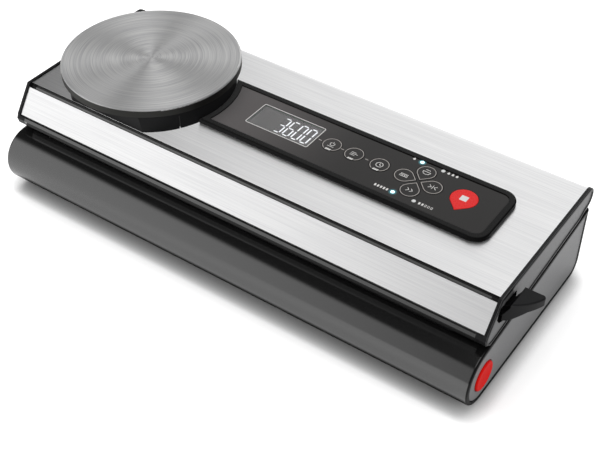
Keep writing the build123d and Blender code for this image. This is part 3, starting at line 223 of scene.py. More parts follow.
paper = bpy.data.materials.new("white_paper_sweep")
paper.use_nodes = True
sheet = paper.node_tree
sheet.nodes.clear()
rays = add(sheet, "ShaderNodeLightPath").outputs
mirrored = combine(sheet, rays["Is Glossy Ray"], rays["Is Transmission Ray"], "MAXIMUM")
lit = 1.0
for reach, depth in SHADES:
    open_sky = add(sheet, "ShaderNodeAmbientOcclusion", {"Distance": reach}, samples=16).outputs["AO"]
    lit = combine(sheet, combine(sheet, open_sky, depth, "POWER"), lit, "MULTIPLY")
glow = combine(sheet, lit, FLOOR_GLOW, "MULTIPLY")
glow = combine(sheet, glow, rays["Is Camera Ray"], "MULTIPLY")
matt = add(sheet, "ShaderNodeBsdfDiffuse", {"Color": linear(PAPER)})
shine = add(sheet, "ShaderNodeEmission", {"Strength": glow})
both = add(sheet, "ShaderNodeAddShader", {0: matt.outputs[0], 1: shine.outputs[0]})
mirrored_glow = combine(sheet, combine(sheet, lit, MIRRORED_DEPTH, "POWER"), MIRRORED_GLOW, "MULTIPLY")
white = add(sheet, "ShaderNodeEmission", {"Strength": mirrored_glow})
seen = add(sheet, "ShaderNodeMixShader", {0: mirrored, 1: both.outputs[0], 2: white.outputs[0]})
add(sheet, "ShaderNodeOutputMaterial", {"Surface": seen.outputs[0]})

floor_mesh = bpy.data.meshes.new("floor")
floor_bm = bmesh.new()
bmesh.ops.create_grid(floor_bm, x_segments=4, y_segments=4, size=FLOOR_SIDE / 2)
floor_bm.to_mesh(floor_mesh)
floor_bm.free()
floor_mesh.materials.append(paper)
floor = bpy.data.objects.new("floor", floor_mesh)
scene.collection.objects.link(floor)
print("floor:", FLOOR_SIDE, "m square")

# %% [markdown]
# Three large softboxes light the dull surfaces. The one overhead, a little behind and to the left,
# puts the shadow to the front right. The one at the front left models the round nose, and the one
# at the right lifts the end faces. What is mirrored comes from the room's screens alone, so the
# lamps themselves are kept out of reflections.

# %% Softboxes
MIDDLE = Vector((0, 0, 0.05))


def softbox(name, place, width, height, watts):
    """A rectangular lamp that looks at the middle of the machine and is not mirrored in it."""
    lamp = bpy.data.lights.new(name, "AREA")
    lamp.shape = "RECTANGLE"
    lamp.size = width
    lamp.size_y = height
    lamp.energy = watts
    holder = bpy.data.objects.new(name, lamp)
    holder.location = place
    holder.rotation_euler = (MIDDLE - Vector(place)).to_track_quat("-Z", "Y").to_euler()
    holder.visible_glossy = False
    scene.collection.objects.link(holder)


softbox("softbox_overhead", (-0.45, 0.35, 1.35), 1.3, 1.0, 9.0)
softbox("softbox_front_left", (-1.15, -1.05, 0.65), 0.9, 0.7, 5.0)
softbox("softbox_right", (1.4, -0.2, 0.7), 0.8, 0.8, 7.0)
print("softboxes: 3")

# %% [markdown]
# ## What all materials share
# Each material starts with the place of each point on the machine, so that patterns have their
# real size and stay put when a part moves. Each ends in one Principled shader.

# %% Start of every material
finishes = {}


def start(name):
    """An empty material, its node tree, and the place of each point on the machine in metres."""
    material = bpy.data.materials.new(name)
    material.use_nodes = True
    tree = material.node_tree
    tree.nodes.clear()
    place = add(tree, "ShaderNodeTexCoord").outputs["Object"]
    return material, tree, place


def close(tree, inputs):
    """The shader that a material ends in."""
    shader = add(tree, "ShaderNodeBsdfPrincipled", inputs)
    add(tree, "ShaderNodeOutputMaterial", {"Surface": shader.outputs[0]})


def per_metre(size_mm):
    """Scale of a pattern whose features are that many millimetres wide."""
    return 1 / (size_mm * MM)


print("materials start from places in metres")

# %% [markdown]
# ## Moulded plastics
# Most of the machine is ABS, moulded in polished or finely etched tools. The eye sees a deep even
# colour, a soft reflection that a fine grain breaks up, and edges that handling has made a little
# smoother. The edges are paler too: partly wear, partly a painted highlight where light catches them.
# Noise at three sizes gives the drift in shade, the grain and the change in gloss. The edges are found
# by comparing the surface's direction with that of the same surface with its edges rounded off. Where
# the tool was polished, as on the long nose, a clear coat carries the mirror image. The ends, which were
# not, go without it.

# %% Moulded ABS
SHADE_DRIFT_MM = 55.0
SHADE_DRIFT = 0.86
EDGE_MM = 0.5
EDGE_TURN = (0.995, 0.85)
GLOSS_DRIFT = 0.06
FACE_SLACK_MM = 0.08
PLASTIC_IOR = 1.53
COAT_IOR = 1.9
COAT_ROUGHNESS = 0.12
COAT_END = (0.1, 0.4)


def edge_wear_and_highlight(tree, size_mm):
    """The direction of the surface with its edges rounded off, and how much of an edge a point is."""
    rounded = add(tree, "ShaderNodeBevel", {"Radius": size_mm * MM}, samples=4).outputs[0]
    flat = add(tree, "ShaderNodeNewGeometry").outputs["Normal"]
    same = add(tree, "ShaderNodeVectorMath", {0: rounded, 1: flat}, operation="DOT_PRODUCT")
    edge = add(tree, "ShaderNodeMapRange", {"Value": same.outputs["Value"],
                                            "From Min": EDGE_TURN[0], "From Max": EDGE_TURN[1]})
    return rounded, edge.outputs[0]


def mixed(tree, share, one, other):
    """A colour between two."""
    return add(tree, "ShaderNodeMix", {0: share, 6: one, 7: other}, data_type="RGBA").outputs[2]


def shaded(code, share):
    """A darker shade of a hex colour."""
    return [part * share for part in linear(code)[:3]] + [1.0]


def moulded(slot, name, colour, worn_and_highlit, roughness, grain_mm, depth_mm, face=None, polish=0.0, shine=0.5):
    """ABS of a colour, paler at its edges from wear and a painted highlight. face is (x in mm, colour)
    of a sunk flat that differs.
    """
    material, tree, place = start(name)
    drift = add(tree, "ShaderNodeTexNoise", {"Vector": place, "Scale": per_metre(SHADE_DRIFT_MM)})
    grain = add(tree, "ShaderNodeTexNoise",
                {"Vector": place, "Scale": per_metre(grain_mm), "Detail": 3.0})
    rounded, edge = edge_wear_and_highlight(tree, EDGE_MM)
    body = mixed(tree, drift.outputs[0], shaded(colour, SHADE_DRIFT), linear(colour))
    if face:
        along = add(tree, "ShaderNodeSeparateXYZ", {0: place}).outputs["X"]
        out = combine(tree, along, CASING_X, "SUBTRACT")
        out = add(tree, "ShaderNodeMath", {0: out}, operation="ABSOLUTE").outputs[0]
        sunk = add(tree, "ShaderNodeMath", {0: out, 1: face[0] * MM, 2: FACE_SLACK_MM * MM},
                   operation="COMPARE").outputs[0]
        body = mixed(tree, sunk, body, linear(face[1]))
    # Paler edges: partly wear, partly a painted highlight.
    paint = mixed(tree, edge, body, linear(worn_and_highlit))
    gloss = add(tree, "ShaderNodeMapRange",
                {"Value": grain.outputs[0], "From Min": 0.3, "From Max": 0.7,
                 "To Min": roughness - GLOSS_DRIFT, "To Max": roughness + GLOSS_DRIFT}).outputs[0]
    bump = add(tree, "ShaderNodeBump",
               {"Height": grain.outputs[0], "Distance": depth_mm * MM, "Normal": rounded})
    coat = polish
    if polish:
        turned = add(tree, "ShaderNodeTexCoord").outputs["Normal"]
        turned = add(tree, "ShaderNodeSeparateXYZ", {0: turned}).outputs["X"]
        turned = add(tree, "ShaderNodeMath", {0: turned}, operation="ABSOLUTE").outputs[0]
        coat = add(tree, "ShaderNodeMapRange",
                   {"Value": turned, "From Min": COAT_END[0], "From Max": COAT_END[1],
                    "To Min": polish, "To Max": 0.0}).outputs[0]
    close(tree, {"Base Color": paint, "Roughness": gloss, "IOR": PLASTIC_IOR,
                 "Specular IOR Level": shine, "Normal": bump.outputs[0],
                 "Coat Weight": coat, "Coat Roughness": COAT_ROUGHNESS, "Coat IOR": COAT_IOR})
    finishes[slot] = material


RECESS_FACE_MM = 199.4
# Satin black: the soft reflection of the floor and the screens is most of what shows.
moulded("black_abs", "black_abs_moulded_satin", "#111111", "#262626", 0.30, 0.6, 0.004,
        polish=1.0, shine=0.1)
# Spark-etched tool: no clear reflections, so it looks a little greyer.
moulded("deck_abs", "black_abs_moulded_etched", "#19191A", "#343434", 0.48, 0.5, 0.02, shine=0.14)
# Charcoal caps: darker rims round sunk faces that are as grey as the base's ends.
moulded("cap_abs", "charcoal_abs_moulded_satin", "#1C1C1D", "#343434", 0.34, 0.6, 0.005,
        face=(RECESS_FACE_MM, "#6A6A6B"), shine=0.15)
# Grey ends: even and dull, so that the red button stands out.
moulded("end_face_abs", "grey_abs_moulded_satin", "#8A8A8B", "#949494", 0.34, 0.6, 0.005, shine=0.06)
# The frame round the touch panel: deeper black than the rest, with a painted highlight on its edge.
moulded("bezel_abs", "black_abs_moulded_semi_gloss", "#090909", "#1E1E1E", 0.30, 0.6, 0.003, shine=0.12)
# Polyamide and polyester of the inlet and the switches: dull, with a coarser skin.
moulded("inlet_plastic", "black_polyamide_moulded", "#171717", "#2A2A2A", 0.45, 0.5, 0.01)
moulded("component_plastic", "black_polyester_moulded", "#1F2024", "#36373A", 0.42, 0.4, 0.01)
# Red button: a full colour with hardly a highlight, because its dish spreads the light.
moulded("button_red", "red_abs_moulded_gloss", "#F01812", "#F42E26", 0.45, 0.6, 0.003, shine=0.06)
print("moulded plastics:", ", ".join(finishes))

# %% [markdown]
# ## Brushed steel
# The sheets on the lid are stainless steel, brushed along their length with an abrasive belt.
# The fine scratches blur every reflection across the brushing and leave it sharper along it, and
# they show as streaks. So the shader is anisotropic, with the direction of the scratches as its
# tangent, and stretched noise makes the streaks. Real scratches are some hundredths of a
# millimetre wide. These are half a millimetre and more, so that they show in the picture. The
# sheet's cut front edge lies in a groove that light hardly reaches, so it is painted dark.

# %% Brushed sheet
SCRATCH_MM = (70.0, 0.5)
BAND_MM = (220.0, 4.0)
BAND_SHARE = 0.08
STREAK_SPAN = (0.34, 0.66)
STEEL_LOW = "#EDEDEE"
STEEL_HIGH = "#FAFAFA"
CUT_EDGE = "#161616"
CUT_EDGE_TURN = (-0.92, -0.96)
STEEL_ROUGHNESS = (0.39, 0.36)
SCRATCH_DEPTH_MM = 0.0018


def streaked(tree, value):
    """Noise stretched to its full span."""
    return add(tree, "ShaderNodeMapRange", {"Value": value, "From Min": STREAK_SPAN[0],
                                            "From Max": STREAK_SPAN[1]}).outputs[0]


material, tree, place = start("stainless_steel_brushed_lengthwise")
streaks = []
for length, width in (SCRATCH_MM, BAND_MM):
    stretch = (per_metre(length), per_metre(width), per_metre(width))
    pulled = add(tree, "ShaderNodeVectorMath", {0: place, 1: stretch}, operation="MULTIPLY").outputs[0]
    noise_node = add(tree, "ShaderNodeTexNoise", {"Vector": pulled, "Scale": 1.0, "Detail": 2.0})
    streaks.append(noise_node.outputs[0])
streak = add(tree, "ShaderNodeMix", {0: BAND_SHARE, 2: streaks[0], 3: streaks[1]}).outputs[0]
tone = streaked(tree, streak)
steel = mixed(tree, tone, linear(STEEL_LOW), linear(STEEL_HIGH))
facing = add(tree, "ShaderNodeTexCoord").outputs["Normal"]
facing = add(tree, "ShaderNodeSeparateXYZ", {0: facing}).outputs["Y"]
cut = add(tree, "ShaderNodeMapRange", {"Value": facing, "From Min": CUT_EDGE_TURN[0],
                                       "From Max": CUT_EDGE_TURN[1]}).outputs[0]
steel = mixed(tree, cut, steel, linear(CUT_EDGE))
rough = add(tree, "ShaderNodeMapRange", {"Value": tone, "To Min": STEEL_ROUGHNESS[0],
                                         "To Max": STEEL_ROUGHNESS[1]}).outputs[0]
bump = add(tree, "ShaderNodeBump", {"Height": streaks[0], "Distance": SCRATCH_DEPTH_MM * MM}).outputs[0]
lengthwise = add(tree, "ShaderNodeVectorTransform", {0: (1, 0, 0)}, vector_type="VECTOR",
                 convert_from="OBJECT", convert_to="WORLD").outputs[0]
close(tree, {"Base Color": steel, "Metallic": 1.0, "Roughness": rough, "Anisotropic": 0.75,
             "Anisotropic Rotation": 0.25, "Tangent": lengthwise, "Normal": bump})
finishes["sheet_steel"] = material
print("scratches:", SCRATCH_MM, "mm")

# %% [markdown]
# The platter is the same steel, but it was brushed while it turned, so its scratches are circles. A
# tangent that runs round the disc does for it what the lengthwise one does for the sheets: light and
# dark gather in wedges that point at the middle. The turned-down rim is painted dark, as a painted
# reflection of the dark things round and below it.

# %% Brushed platter
RING_MM = 0.7
BROAD_RING_MM = 5.0
BROAD_SHARE = 0.2
RING_LOW = "#E2E2E3"
RING_HIGH = "#FBFBFA"
RING_ROUGHNESS = (0.62, 0.54)
RING_DEPTH_MM = 0.006
SKIRT_PAINTED_REFLECTION = "#4C4C4A"
SKIRT_TURN = (0.5, 0.2)

disc_low, disc_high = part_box("platter_disc")
disc_middle = (disc_low + disc_high) / 2
material, tree, place = start("stainless_steel_brushed_in_circles")
apart = add(tree, "ShaderNodeVectorMath", {0: place, 1: disc_middle}, operation="SUBTRACT").outputs[0]
level = add(tree, "ShaderNodeVectorMath", {0: apart, 1: (1, 1, 0)}, operation="MULTIPLY").outputs[0]
radius = add(tree, "ShaderNodeVectorMath", {0: level}, operation="LENGTH").outputs["Value"]
bearing = add(tree, "ShaderNodeVectorMath", {0: level}, operation="NORMALIZE").outputs[0]
rings = []
for width in (RING_MM, BROAD_RING_MM):
    turns = combine(tree, radius, per_metre(width), "MULTIPLY")
    outward = add(tree, "ShaderNodeCombineXYZ", {2: turns}).outputs[0]
    around = add(tree, "ShaderNodeVectorMath", {0: outward, 1: bearing}, operation="ADD").outputs[0]
    noise_node = add(tree, "ShaderNodeTexNoise", {"Vector": around, "Scale": 1.0, "Detail": 2.0})
    rings.append(noise_node.outputs[0])
ring = add(tree, "ShaderNodeMix", {0: BROAD_SHARE, 2: rings[0], 3: rings[1]}).outputs[0]
tone = streaked(tree, ring)
steel = mixed(tree, tone, linear(RING_LOW), linear(RING_HIGH))
facing = add(tree, "ShaderNodeTexCoord").outputs["Normal"]
facing = add(tree, "ShaderNodeSeparateXYZ", {0: facing}).outputs["Z"]
skirt_painted_reflection = add(tree, "ShaderNodeMapRange", {"Value": facing, "From Min": SKIRT_TURN[0],
                                         "From Max": SKIRT_TURN[1]}).outputs[0]
# The rim's dark colour is a painted reflection, not a finish of its own.
steel = mixed(tree, skirt_painted_reflection, steel, linear(SKIRT_PAINTED_REFLECTION))
rough = add(tree, "ShaderNodeMapRange", {"Value": tone, "To Min": RING_ROUGHNESS[0],
                                         "To Max": RING_ROUGHNESS[1]}).outputs[0]
bump = add(tree, "ShaderNodeBump", {"Height": rings[0], "Distance": RING_DEPTH_MM * MM}).outputs[0]
circling = add(tree, "ShaderNodeTangent", direction_type="RADIAL", axis="Z").outputs[0]
close(tree, {"Base Color": steel, "Metallic": 1.0, "Roughness": rough, "Anisotropic": 0.9,
             "Anisotropic Rotation": 0.25, "Tangent": circling, "Normal": bump})
finishes["platter_steel"] = material
print("platter:", round((disc_high.x - disc_low.x) / MM, 1), "mm across")

# %% [markdown]
# ## Metals inside and at the hinges
# Pins, screws, the shaft, the pump and the bars are plain metals, turned, plated, cast or
# extruded. One function makes them: a base tone that drifts, fine marks that change the gloss,
# and brighter edges where parts rub.

# %% Small metals
METAL_EDGE_MM = 0.3
METAL_DRIFT = 0.8
MARK_GLOSS = 0.08


def metal(slot, name, colour, bright, roughness, mark_mm, depth_mm):
    """A metal of a colour, brighter at its rubbed edges, with marks of a size on its surface."""
    material, tree, place = start(name)
    marks = add(tree, "ShaderNodeTexNoise",
                {"Vector": place, "Scale": per_metre(mark_mm), "Detail": 4.0}).outputs[0]
    rounded, edge = edge_wear_and_highlight(tree, METAL_EDGE_MM)
    body = mixed(tree, marks, shaded(colour, METAL_DRIFT), linear(colour))
    skin = mixed(tree, edge, body, linear(bright))
    rough = add(tree, "ShaderNodeMapRange", {"Value": marks, "To Min": roughness - MARK_GLOSS,
                                             "To Max": roughness + MARK_GLOSS}).outputs[0]
    bump = add(tree, "ShaderNodeBump",
               {"Height": marks, "Distance": depth_mm * MM, "Normal": rounded}).outputs[0]
    close(tree, {"Base Color": skin, "Metallic": 1.0, "Roughness": rough, "Normal": bump})
    finishes[slot] = material


# Ground and rolled metals: bright, with small sharp highlights.
metal("bright_steel", "steel_ground_bright", "#B9BABC", "#E4E4E4", 0.26, 0.8, 0.003)
metal("nichrome", "nichrome_rolled_ribbon", "#A39C94", "#CFC9C2", 0.34, 1.5, 0.004)
metal("pin_brass", "brass_nickel_plated", "#C9B27A", "#E6D6A8", 0.25, 0.6, 0.003)
# Plated and varnished steels: darker, with paler edges where the layer has worn.
metal("screw_steel", "steel_zinc_plated_dark", "#6E7074", "#B0B0B0", 0.34, 0.5, 0.006)
metal("motor_paint", "steel_zinc_plated", "#9A9C9E", "#C8C8C8", 0.38, 2.0, 0.01)
metal("core_steel", "steel_laminated_varnished", "#59544E", "#8C857C", 0.45, 0.6, 0.02)
# Extruded and cast aluminium: pale and soft, and the casting is rougher than the bar.
metal("bar_aluminium", "aluminium_extruded", "#BFC1C3", "#E2E3E4", 0.36, 1.2, 0.006)
metal("pump_alloy", "aluminium_die_cast", "#A4A6A8", "#CDCFD0", 0.46, 0.9, 0.03)
print("finishes so far:", len(finishes))

# %% [markdown]
# ## Rubbers
# Feet, hoses and the strip that presses on the bag are soft, dull and a little dusty. The foam
# of the gaskets is full of closed cells about half a millimetre wide, which cut through at the
# surface show as pits. Voronoi cells make them.

# %% Rubber and foam
BLOOM_MM = 9.0
RUBBER_IOR = 1.45


def rubber(slot, name, colour, dusty, roughness, cell_mm, depth_mm, see_through=0.0):
    """A soft material of a colour, with pits of a size and a dusty bloom."""
    material, tree, place = start(name)
    cells = add(tree, "ShaderNodeTexVoronoi",
                {"Vector": place, "Scale": per_metre(cell_mm)}).outputs["Distance"]
    bloom = add(tree, "ShaderNodeTexNoise",
                {"Vector": place, "Scale": per_metre(BLOOM_MM), "Detail": 4.0}).outputs[0]
    dust = add(tree, "ShaderNodeMapRange", {"Value": bloom, "From Min": 0.4, "From Max": 0.75})
    skin = mixed(tree, dust.outputs[0], linear(colour), linear(dusty))
    rough = add(tree, "ShaderNodeMapRange", {"Value": cells, "To Min": roughness - MARK_GLOSS,
                                             "To Max": roughness + MARK_GLOSS}).outputs[0]
    bump = add(tree, "ShaderNodeBump", {"Height": cells, "Distance": depth_mm * MM}).outputs[0]
    close(tree, {"Base Color": skin, "Roughness": rough, "IOR": RUBBER_IOR,
                 "Transmission Weight": see_through, "Normal": bump})
    finishes[slot] = material


# Foam swallows light in its pits, silicone keeps a waxy sheen, and the hoses let light through.
rubber("foam_rubber", "neoprene_foam_closed_cell", "#232324", "#3A3A3A", 0.82, 0.6, 0.10)
rubber("silicone", "silicone_rubber_extruded", "#8E2A20", "#A34A3E", 0.5, 0.8, 0.006)
rubber("foot_rubber", "rubber_moulded_soft", "#262626", "#3C3C3C", 0.72, 0.7, 0.02)
rubber("hose_silicone", "silicone_tube_milky", "#C9C8C2", "#DAD9D4", 0.42, 1.0, 0.006, see_through=0.3)
print("finishes so far:", len(finishes))

# %% [markdown]
# ## Boards
# The circuit boards are glass laminate under green lacquer. Copper tracks show through it as
# paler lines, which a square-celled Voronoi pattern draws well enough for parts that only show
# when the casing is open.

# %% Board laminate
TRACK_MM = 3.0
TRACK_SPAN = (0.42, 0.46)
TRACK_DEPTH_MM = 0.03
LACQUER = "#1C5A36"
LACQUER_ON_COPPER = "#2F7A4C"

material, tree, place = start("glass_laminate_green_lacquer")
cells = add(tree, "ShaderNodeTexVoronoi", {"Vector": place, "Scale": per_metre(TRACK_MM)},
            feature="F1", distance="CHEBYCHEV")
track = add(tree, "ShaderNodeMapRange", {"Value": cells.outputs["Distance"],
                                         "From Min": TRACK_SPAN[0], "From Max": TRACK_SPAN[1]})
lacquer = mixed(tree, track.outputs[0], linear(LACQUER), linear(LACQUER_ON_COPPER))
bump = add(tree, "ShaderNodeBump", {"Height": track.outputs[0], "Distance": TRACK_DEPTH_MM * MM})
close(tree, {"Base Color": lacquer, "Roughness": 0.3, "Normal": bump.outputs[0]})
finishes["board_laminate"] = material
print("track spacing:", TRACK_MM, "mm")

# %% [markdown]
# ## Non-stick tape
# The tape over the heating strip is glass cloth with a brown non-stick coating, which gives it a
# silky gloss. Its plain weave shows, and two waves at right angles make that. How far apart the
# threads are is a guess, coarse enough for the weave to be seen.

# %% Non-stick tape
THREAD_MM = 0.8
THREAD_DEPTH_MM = 0.05
# A wave repeats after pi / 10 of its pattern's unit.
WAVE_UNIT = pi / 10
CLOTH_LOW = "#6B4F30"
CLOTH_HIGH = "#A9855A"

material, tree, place = start("glass_cloth_woven_non_stick")
weave = []
for direction in ("X", "Y"):
    wave = add(tree, "ShaderNodeTexWave", {"Vector": place, "Scale": WAVE_UNIT * per_metre(THREAD_MM)},
               wave_type="BANDS", bands_direction=direction)
    weave.append(wave.outputs["Fac"])
threads = combine(tree, weave[0], weave[1], "MULTIPLY")
cloth = mixed(tree, threads, linear(CLOTH_LOW), linear(CLOTH_HIGH))
bump = add(tree, "ShaderNodeBump", {"Height": threads, "Distance": THREAD_DEPTH_MM * MM}).outputs[0]
close(tree, {"Base Color": cloth, "Roughness": 0.42, "Normal": bump})
finishes["coated_glass_cloth"] = material
print("thread spacing:", THREAD_MM, "mm")

# %% [markdown]
# ## Touch panel
# The panel is a polyester film, printed on its back in charcoal, with a hard gloss. A painted highlight
# makes it lighter near the display, and towards the stop key it is almost black. The key caps carry the
# same film. Two of its lamps are lit, and their light spreads a little way inside the film.

# %% Printed film
FILM_PAINTED_HIGHLIGHT = "#575353"
FILM_DARK = "#1A1817"
FILM_FADE_MM = (-70.0, 60.0)
FILM_SHINE = 0.25
LAMPS = {"food_left": (94.0, 34.0), "food_right": (110.4, 34.0),
         "speed_left": (93.6, -4.4), "speed_right": (109.9, -4.4)}
LIT_LAMPS = ("food_left", "speed_left")
FILM_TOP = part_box("control_overlay")[1].z / MM
LAMP_LIGHT = "#BFF4FF"


HALO_LIGHT = "#6FD6E6"
HALO_MM = (1.2, 3.6)
HALO_STRENGTH = 0.35
SPECK_MM = 0.5
SPECK_SHADE = (0.86, 1.14)
FILM_ROUGHNESS = (0.16, 0.24)
SPECK_DEPTH_MM = 0.0015


def printed_film(slot, name, halo):
    """Glossy film with a painted highlight that fades along the panel, and a glow round the lit lamps.
    """
    material, tree, place = start(name)
    along = add(tree, "ShaderNodeSeparateXYZ", {0: place}).outputs["X"]
    light_end, dark_end = [spot(x, 0, 0).x for x in FILM_FADE_MM]
    darkening = add(tree, "ShaderNodeMapRange",
                    {"Value": along, "From Min": light_end, "From Max": dark_end},
                    interpolation_type="SMOOTHSTEP").outputs[0]
    # Painted highlight: the film's colour is lighter near the display and darkens along the panel.
    film = mixed(tree, darkening, linear(FILM_PAINTED_HIGHLIGHT), linear(FILM_DARK))
    speck = add(tree, "ShaderNodeTexNoise",
                {"Vector": place, "Scale": per_metre(SPECK_MM), "Detail": 2.0}).outputs[0]
    shade = add(tree, "ShaderNodeMapRange",
                {"Value": speck, "To Min": SPECK_SHADE[0], "To Max": SPECK_SHADE[1]}).outputs[0]
    film = add(tree, "ShaderNodeVectorMath", {0: film, "Scale": shade}, operation="SCALE").outputs[0]
    gloss = add(tree, "ShaderNodeMapRange",
                {"Value": speck, "To Min": FILM_ROUGHNESS[0], "To Max": FILM_ROUGHNESS[1]}).outputs[0]
    bump = add(tree, "ShaderNodeBump", {"Height": speck, "Distance": SPECK_DEPTH_MM * MM}).outputs[0]
    inputs = {"Base Color": film, "Roughness": gloss, "IOR": 1.5, "Normal": bump,
              "Specular IOR Level": FILM_SHINE}
    if halo:
        glow = 0.0
        for lamp in LIT_LAMPS:
            far = add(tree, "ShaderNodeVectorMath", {0: place, 1: spot(*LAMPS[lamp], FILM_TOP)},
                      operation="DISTANCE").outputs["Value"]
            near = add(tree, "ShaderNodeMapRange",
                       {"Value": far, "From Min": HALO_MM[0] * MM, "From Max": HALO_MM[1] * MM,
                        "To Min": HALO_STRENGTH, "To Max": 0.0}, interpolation_type="SMOOTHERSTEP")
            glow = combine(tree, near.outputs[0], glow, "ADD")
        inputs.update({"Emission Color": linear(HALO_LIGHT), "Emission Strength": glow})
    close(tree, inputs)
    finishes[slot] = material


printed_film("overlay_film", "polyester_film_printed_gloss", halo=True)
printed_film("key_plastic", "polycarbonate_key_printed_gloss", halo=False)
# The stop key is moulded in red under a hard gloss: a full colour that draws the eye first.
moulded("stop_red", "red_polycarbonate_gloss", "#E81A1A", "#F03830", 0.28, 0.5, 0.002, shine=0.25)
print("film top at", round(FILM_TOP, 2), "mm")

# %% [markdown]
# Behind the window lies the display: a grey film under lightly smoked acrylic. The digits are lit
# from behind, and the segments that are off still show as a trace. The window lets light through
# in the shader, so the digits lie visibly below its surface.

# %% Display window and film
SMEAR_MM = 18.0
SMEAR_ROUGHNESS = (0.02, 0.09)
GRAIN_MM = 0.6

material, tree, place = start("acrylic_smoked_polished")
smear = add(tree, "ShaderNodeTexNoise",
            {"Vector": place, "Scale": per_metre(SMEAR_MM), "Detail": 4.0}).outputs[0]
gloss = add(tree, "ShaderNodeMapRange",
            {"Value": smear, "To Min": SMEAR_ROUGHNESS[0], "To Max": SMEAR_ROUGHNESS[1]}).outputs[0]
close(tree, {"Base Color": linear("#E6E6E6"), "Roughness": gloss, "IOR": 1.49,
             "Transmission Weight": 1.0})
finishes["display_glass"] = material

material, tree, place = start("display_film_grey")
speck = add(tree, "ShaderNodeTexNoise",
            {"Vector": place, "Scale": per_metre(GRAIN_MM), "Detail": 2.0}).outputs[0]
film = mixed(tree, speck, linear("#343232"), linear("#3E3C3C"))
close(tree, {"Base Color": film, "Roughness": 0.5})
finishes["display_face"] = material
print("finger smears:", SMEAR_MM, "mm wide")

# %% [markdown]
# Lamps, digits and inks are all thin clear or white layers, some with light behind them. One function
# makes them, with a strength that wavers a little as it does in real lamps. The inks, the unlit lenses
# and the unlit segments have no light behind them and get only a faint painted glow, so that they don't
# drown in the dark film.

# %% Lamps and inks
def glowing(name, colour, light, strength, mm):
    """A glowing layer, a little uneven. Lit lenses and digits have light behind them; inks and unlit
    parts get a faint painted glow.
    """
    material, tree, place = start(name)
    uneven = add(tree, "ShaderNodeTexNoise", {"Vector": place, "Scale": per_metre(mm)}).outputs[0]
    power = add(tree, "ShaderNodeMapRange",
                {"Value": uneven, "To Min": strength * 0.85, "To Max": strength * 1.15}).outputs[0]
    close(tree, {"Base Color": linear(colour), "Roughness": 0.25,
                 "Emission Color": linear(light), "Emission Strength": power})
    return material


lit_lens = glowing("polycarbonate_lens_lit", "#D8F6FA", LAMP_LIGHT, 1.6, 0.8)
# The unlit lens has no lamp on behind it: its glow is painted.
unlit_lens = glowing("polycarbonate_lens_unlit", "#C6C8C8", "#FFFFFF", 0.15, 0.8)
lit_segment = glowing("display_segment_lit", "#E4E6EA", "#F2F4F8", 0.9, 2.0)
# Unlit segments and inks have no light behind them: their glow is painted.
unlit_segment = glowing("display_segment_unlit", "#3C3A3A", "#FFFFFF", 0.003, 2.0)
white_ink = glowing("screen_ink_white", "#D6D4D2", "#FFFFFF", 0.04, 0.5)
grey_ink = glowing("screen_ink_warm_grey", "#9C9692", "#FFFFFF", 0.03, 0.5)
finishes["lamp_lens"] = unlit_lens
print("finishes:", len(finishes))

# %% [markdown]
# Each CAD part says which finish it takes, so one loop dresses them all. One liberty is taken:
# the platter and the two parts that carry it are kept out of reflections. The lid's steel would
# mirror them as a broad dark smear, which the picture that was followed doesn't show.

# %% Finishes on the parts
UNMIRRORED = ("platter_disc", "platter_carrier", "scale_pedestal")

for subpart in frame["record"]["subparts"]:
    part = frame["nodes"][subpart["node"]]
    part.data.materials.clear()
    part.data.materials.append(finishes[subpart["material_slot"]])
for name in UNMIRRORED:
    frame["nodes"][name].visible_glossy = False

# %% [markdown]
# ## Printing
# Screen printing is a layer of ink some hundredths of a millimetre thick. It could be painted by
# a material, but its thin lines stay sharper as geometry: flat strips that follow a path, and
# flat plates with an outline. Both are closed, and sunk a little so that they sit on the film.

# %% Helpers for printing
INK_MM = 0.04
INK_SINK_MM = 0.02


def piece(name, bm, material, body):
    """Makes an object of a mesh in the frame, riding on a body."""
    bmesh.ops.recalc_face_normals(bm, faces=bm.faces[:])
    mesh = bpy.data.meshes.new(name)
    bm.to_mesh(mesh)
    bm.free()
    mesh.materials.append(material)
    made = bpy.data.objects.new(name, mesh)
    scene.collection.objects.link(made)
    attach(made, body)
    return made


def strip(bm, path, width, z, closed=False):
    """A printed line along a path in mm: a flat strip of even width with mitred corners."""
    path = [Vector(point) for point in path]
    rows = []
    for i, point in enumerate(path):
        before = path[i - 1] if closed or i else point * 2 - path[1]
        after = path[(i + 1) % len(path)] if closed or i + 1 < len(path) else point * 2 - path[i - 1]
        come = (point - before).normalized()
        go = (after - point).normalized()
        side = Vector((-come.y - go.y, come.x + go.x)).normalized()
        reach = width / 2 / max(0.5, side.dot(Vector((-go.y, go.x))))
        left = point + side * reach
        right = point - side * reach
        low, high = z - INK_SINK_MM, z + INK_MM
        rows.append([bm.verts.new(spot(*p)) for p in
                     ((*left, high), (*right, high), (*right, low), (*left, low))])
    pairs = list(zip(rows, rows[1:] + rows[:1] if closed else rows[1:]))
    for one, other in pairs:
        for k in range(4):
            bm.faces.new((one[k], one[(k + 1) % 4], other[(k + 1) % 4], other[k]))
    if not closed:
        bm.faces.new(rows[0])
        bm.faces.new(rows[-1])


def plate(bm, outline, z):
    """A printed patch with an outline in mm."""
    low, high = [[bm.verts.new(spot(x, y, height)) for x, y in outline]
                 for height in (z - INK_SINK_MM, z + INK_MM)]
    bm.faces.new(low)
    bm.faces.new(high)
    for i in range(len(outline)):
        bm.faces.new((low[i - 1], low[i], high[i], high[i - 1]))


def arc(x, y, radius, first, last, steps=24):
    """Points on an arc about x, y, from one angle to another in degrees."""
    turns = [radians(first + (last - first) * i / steps) for i in range(steps + 1)]
    return [(x + radius * cos(turn), y + radius * sin(turn)) for turn in turns]


CORNERS = ((-1, -1), (1, -1), (1, 1), (-1, 1))


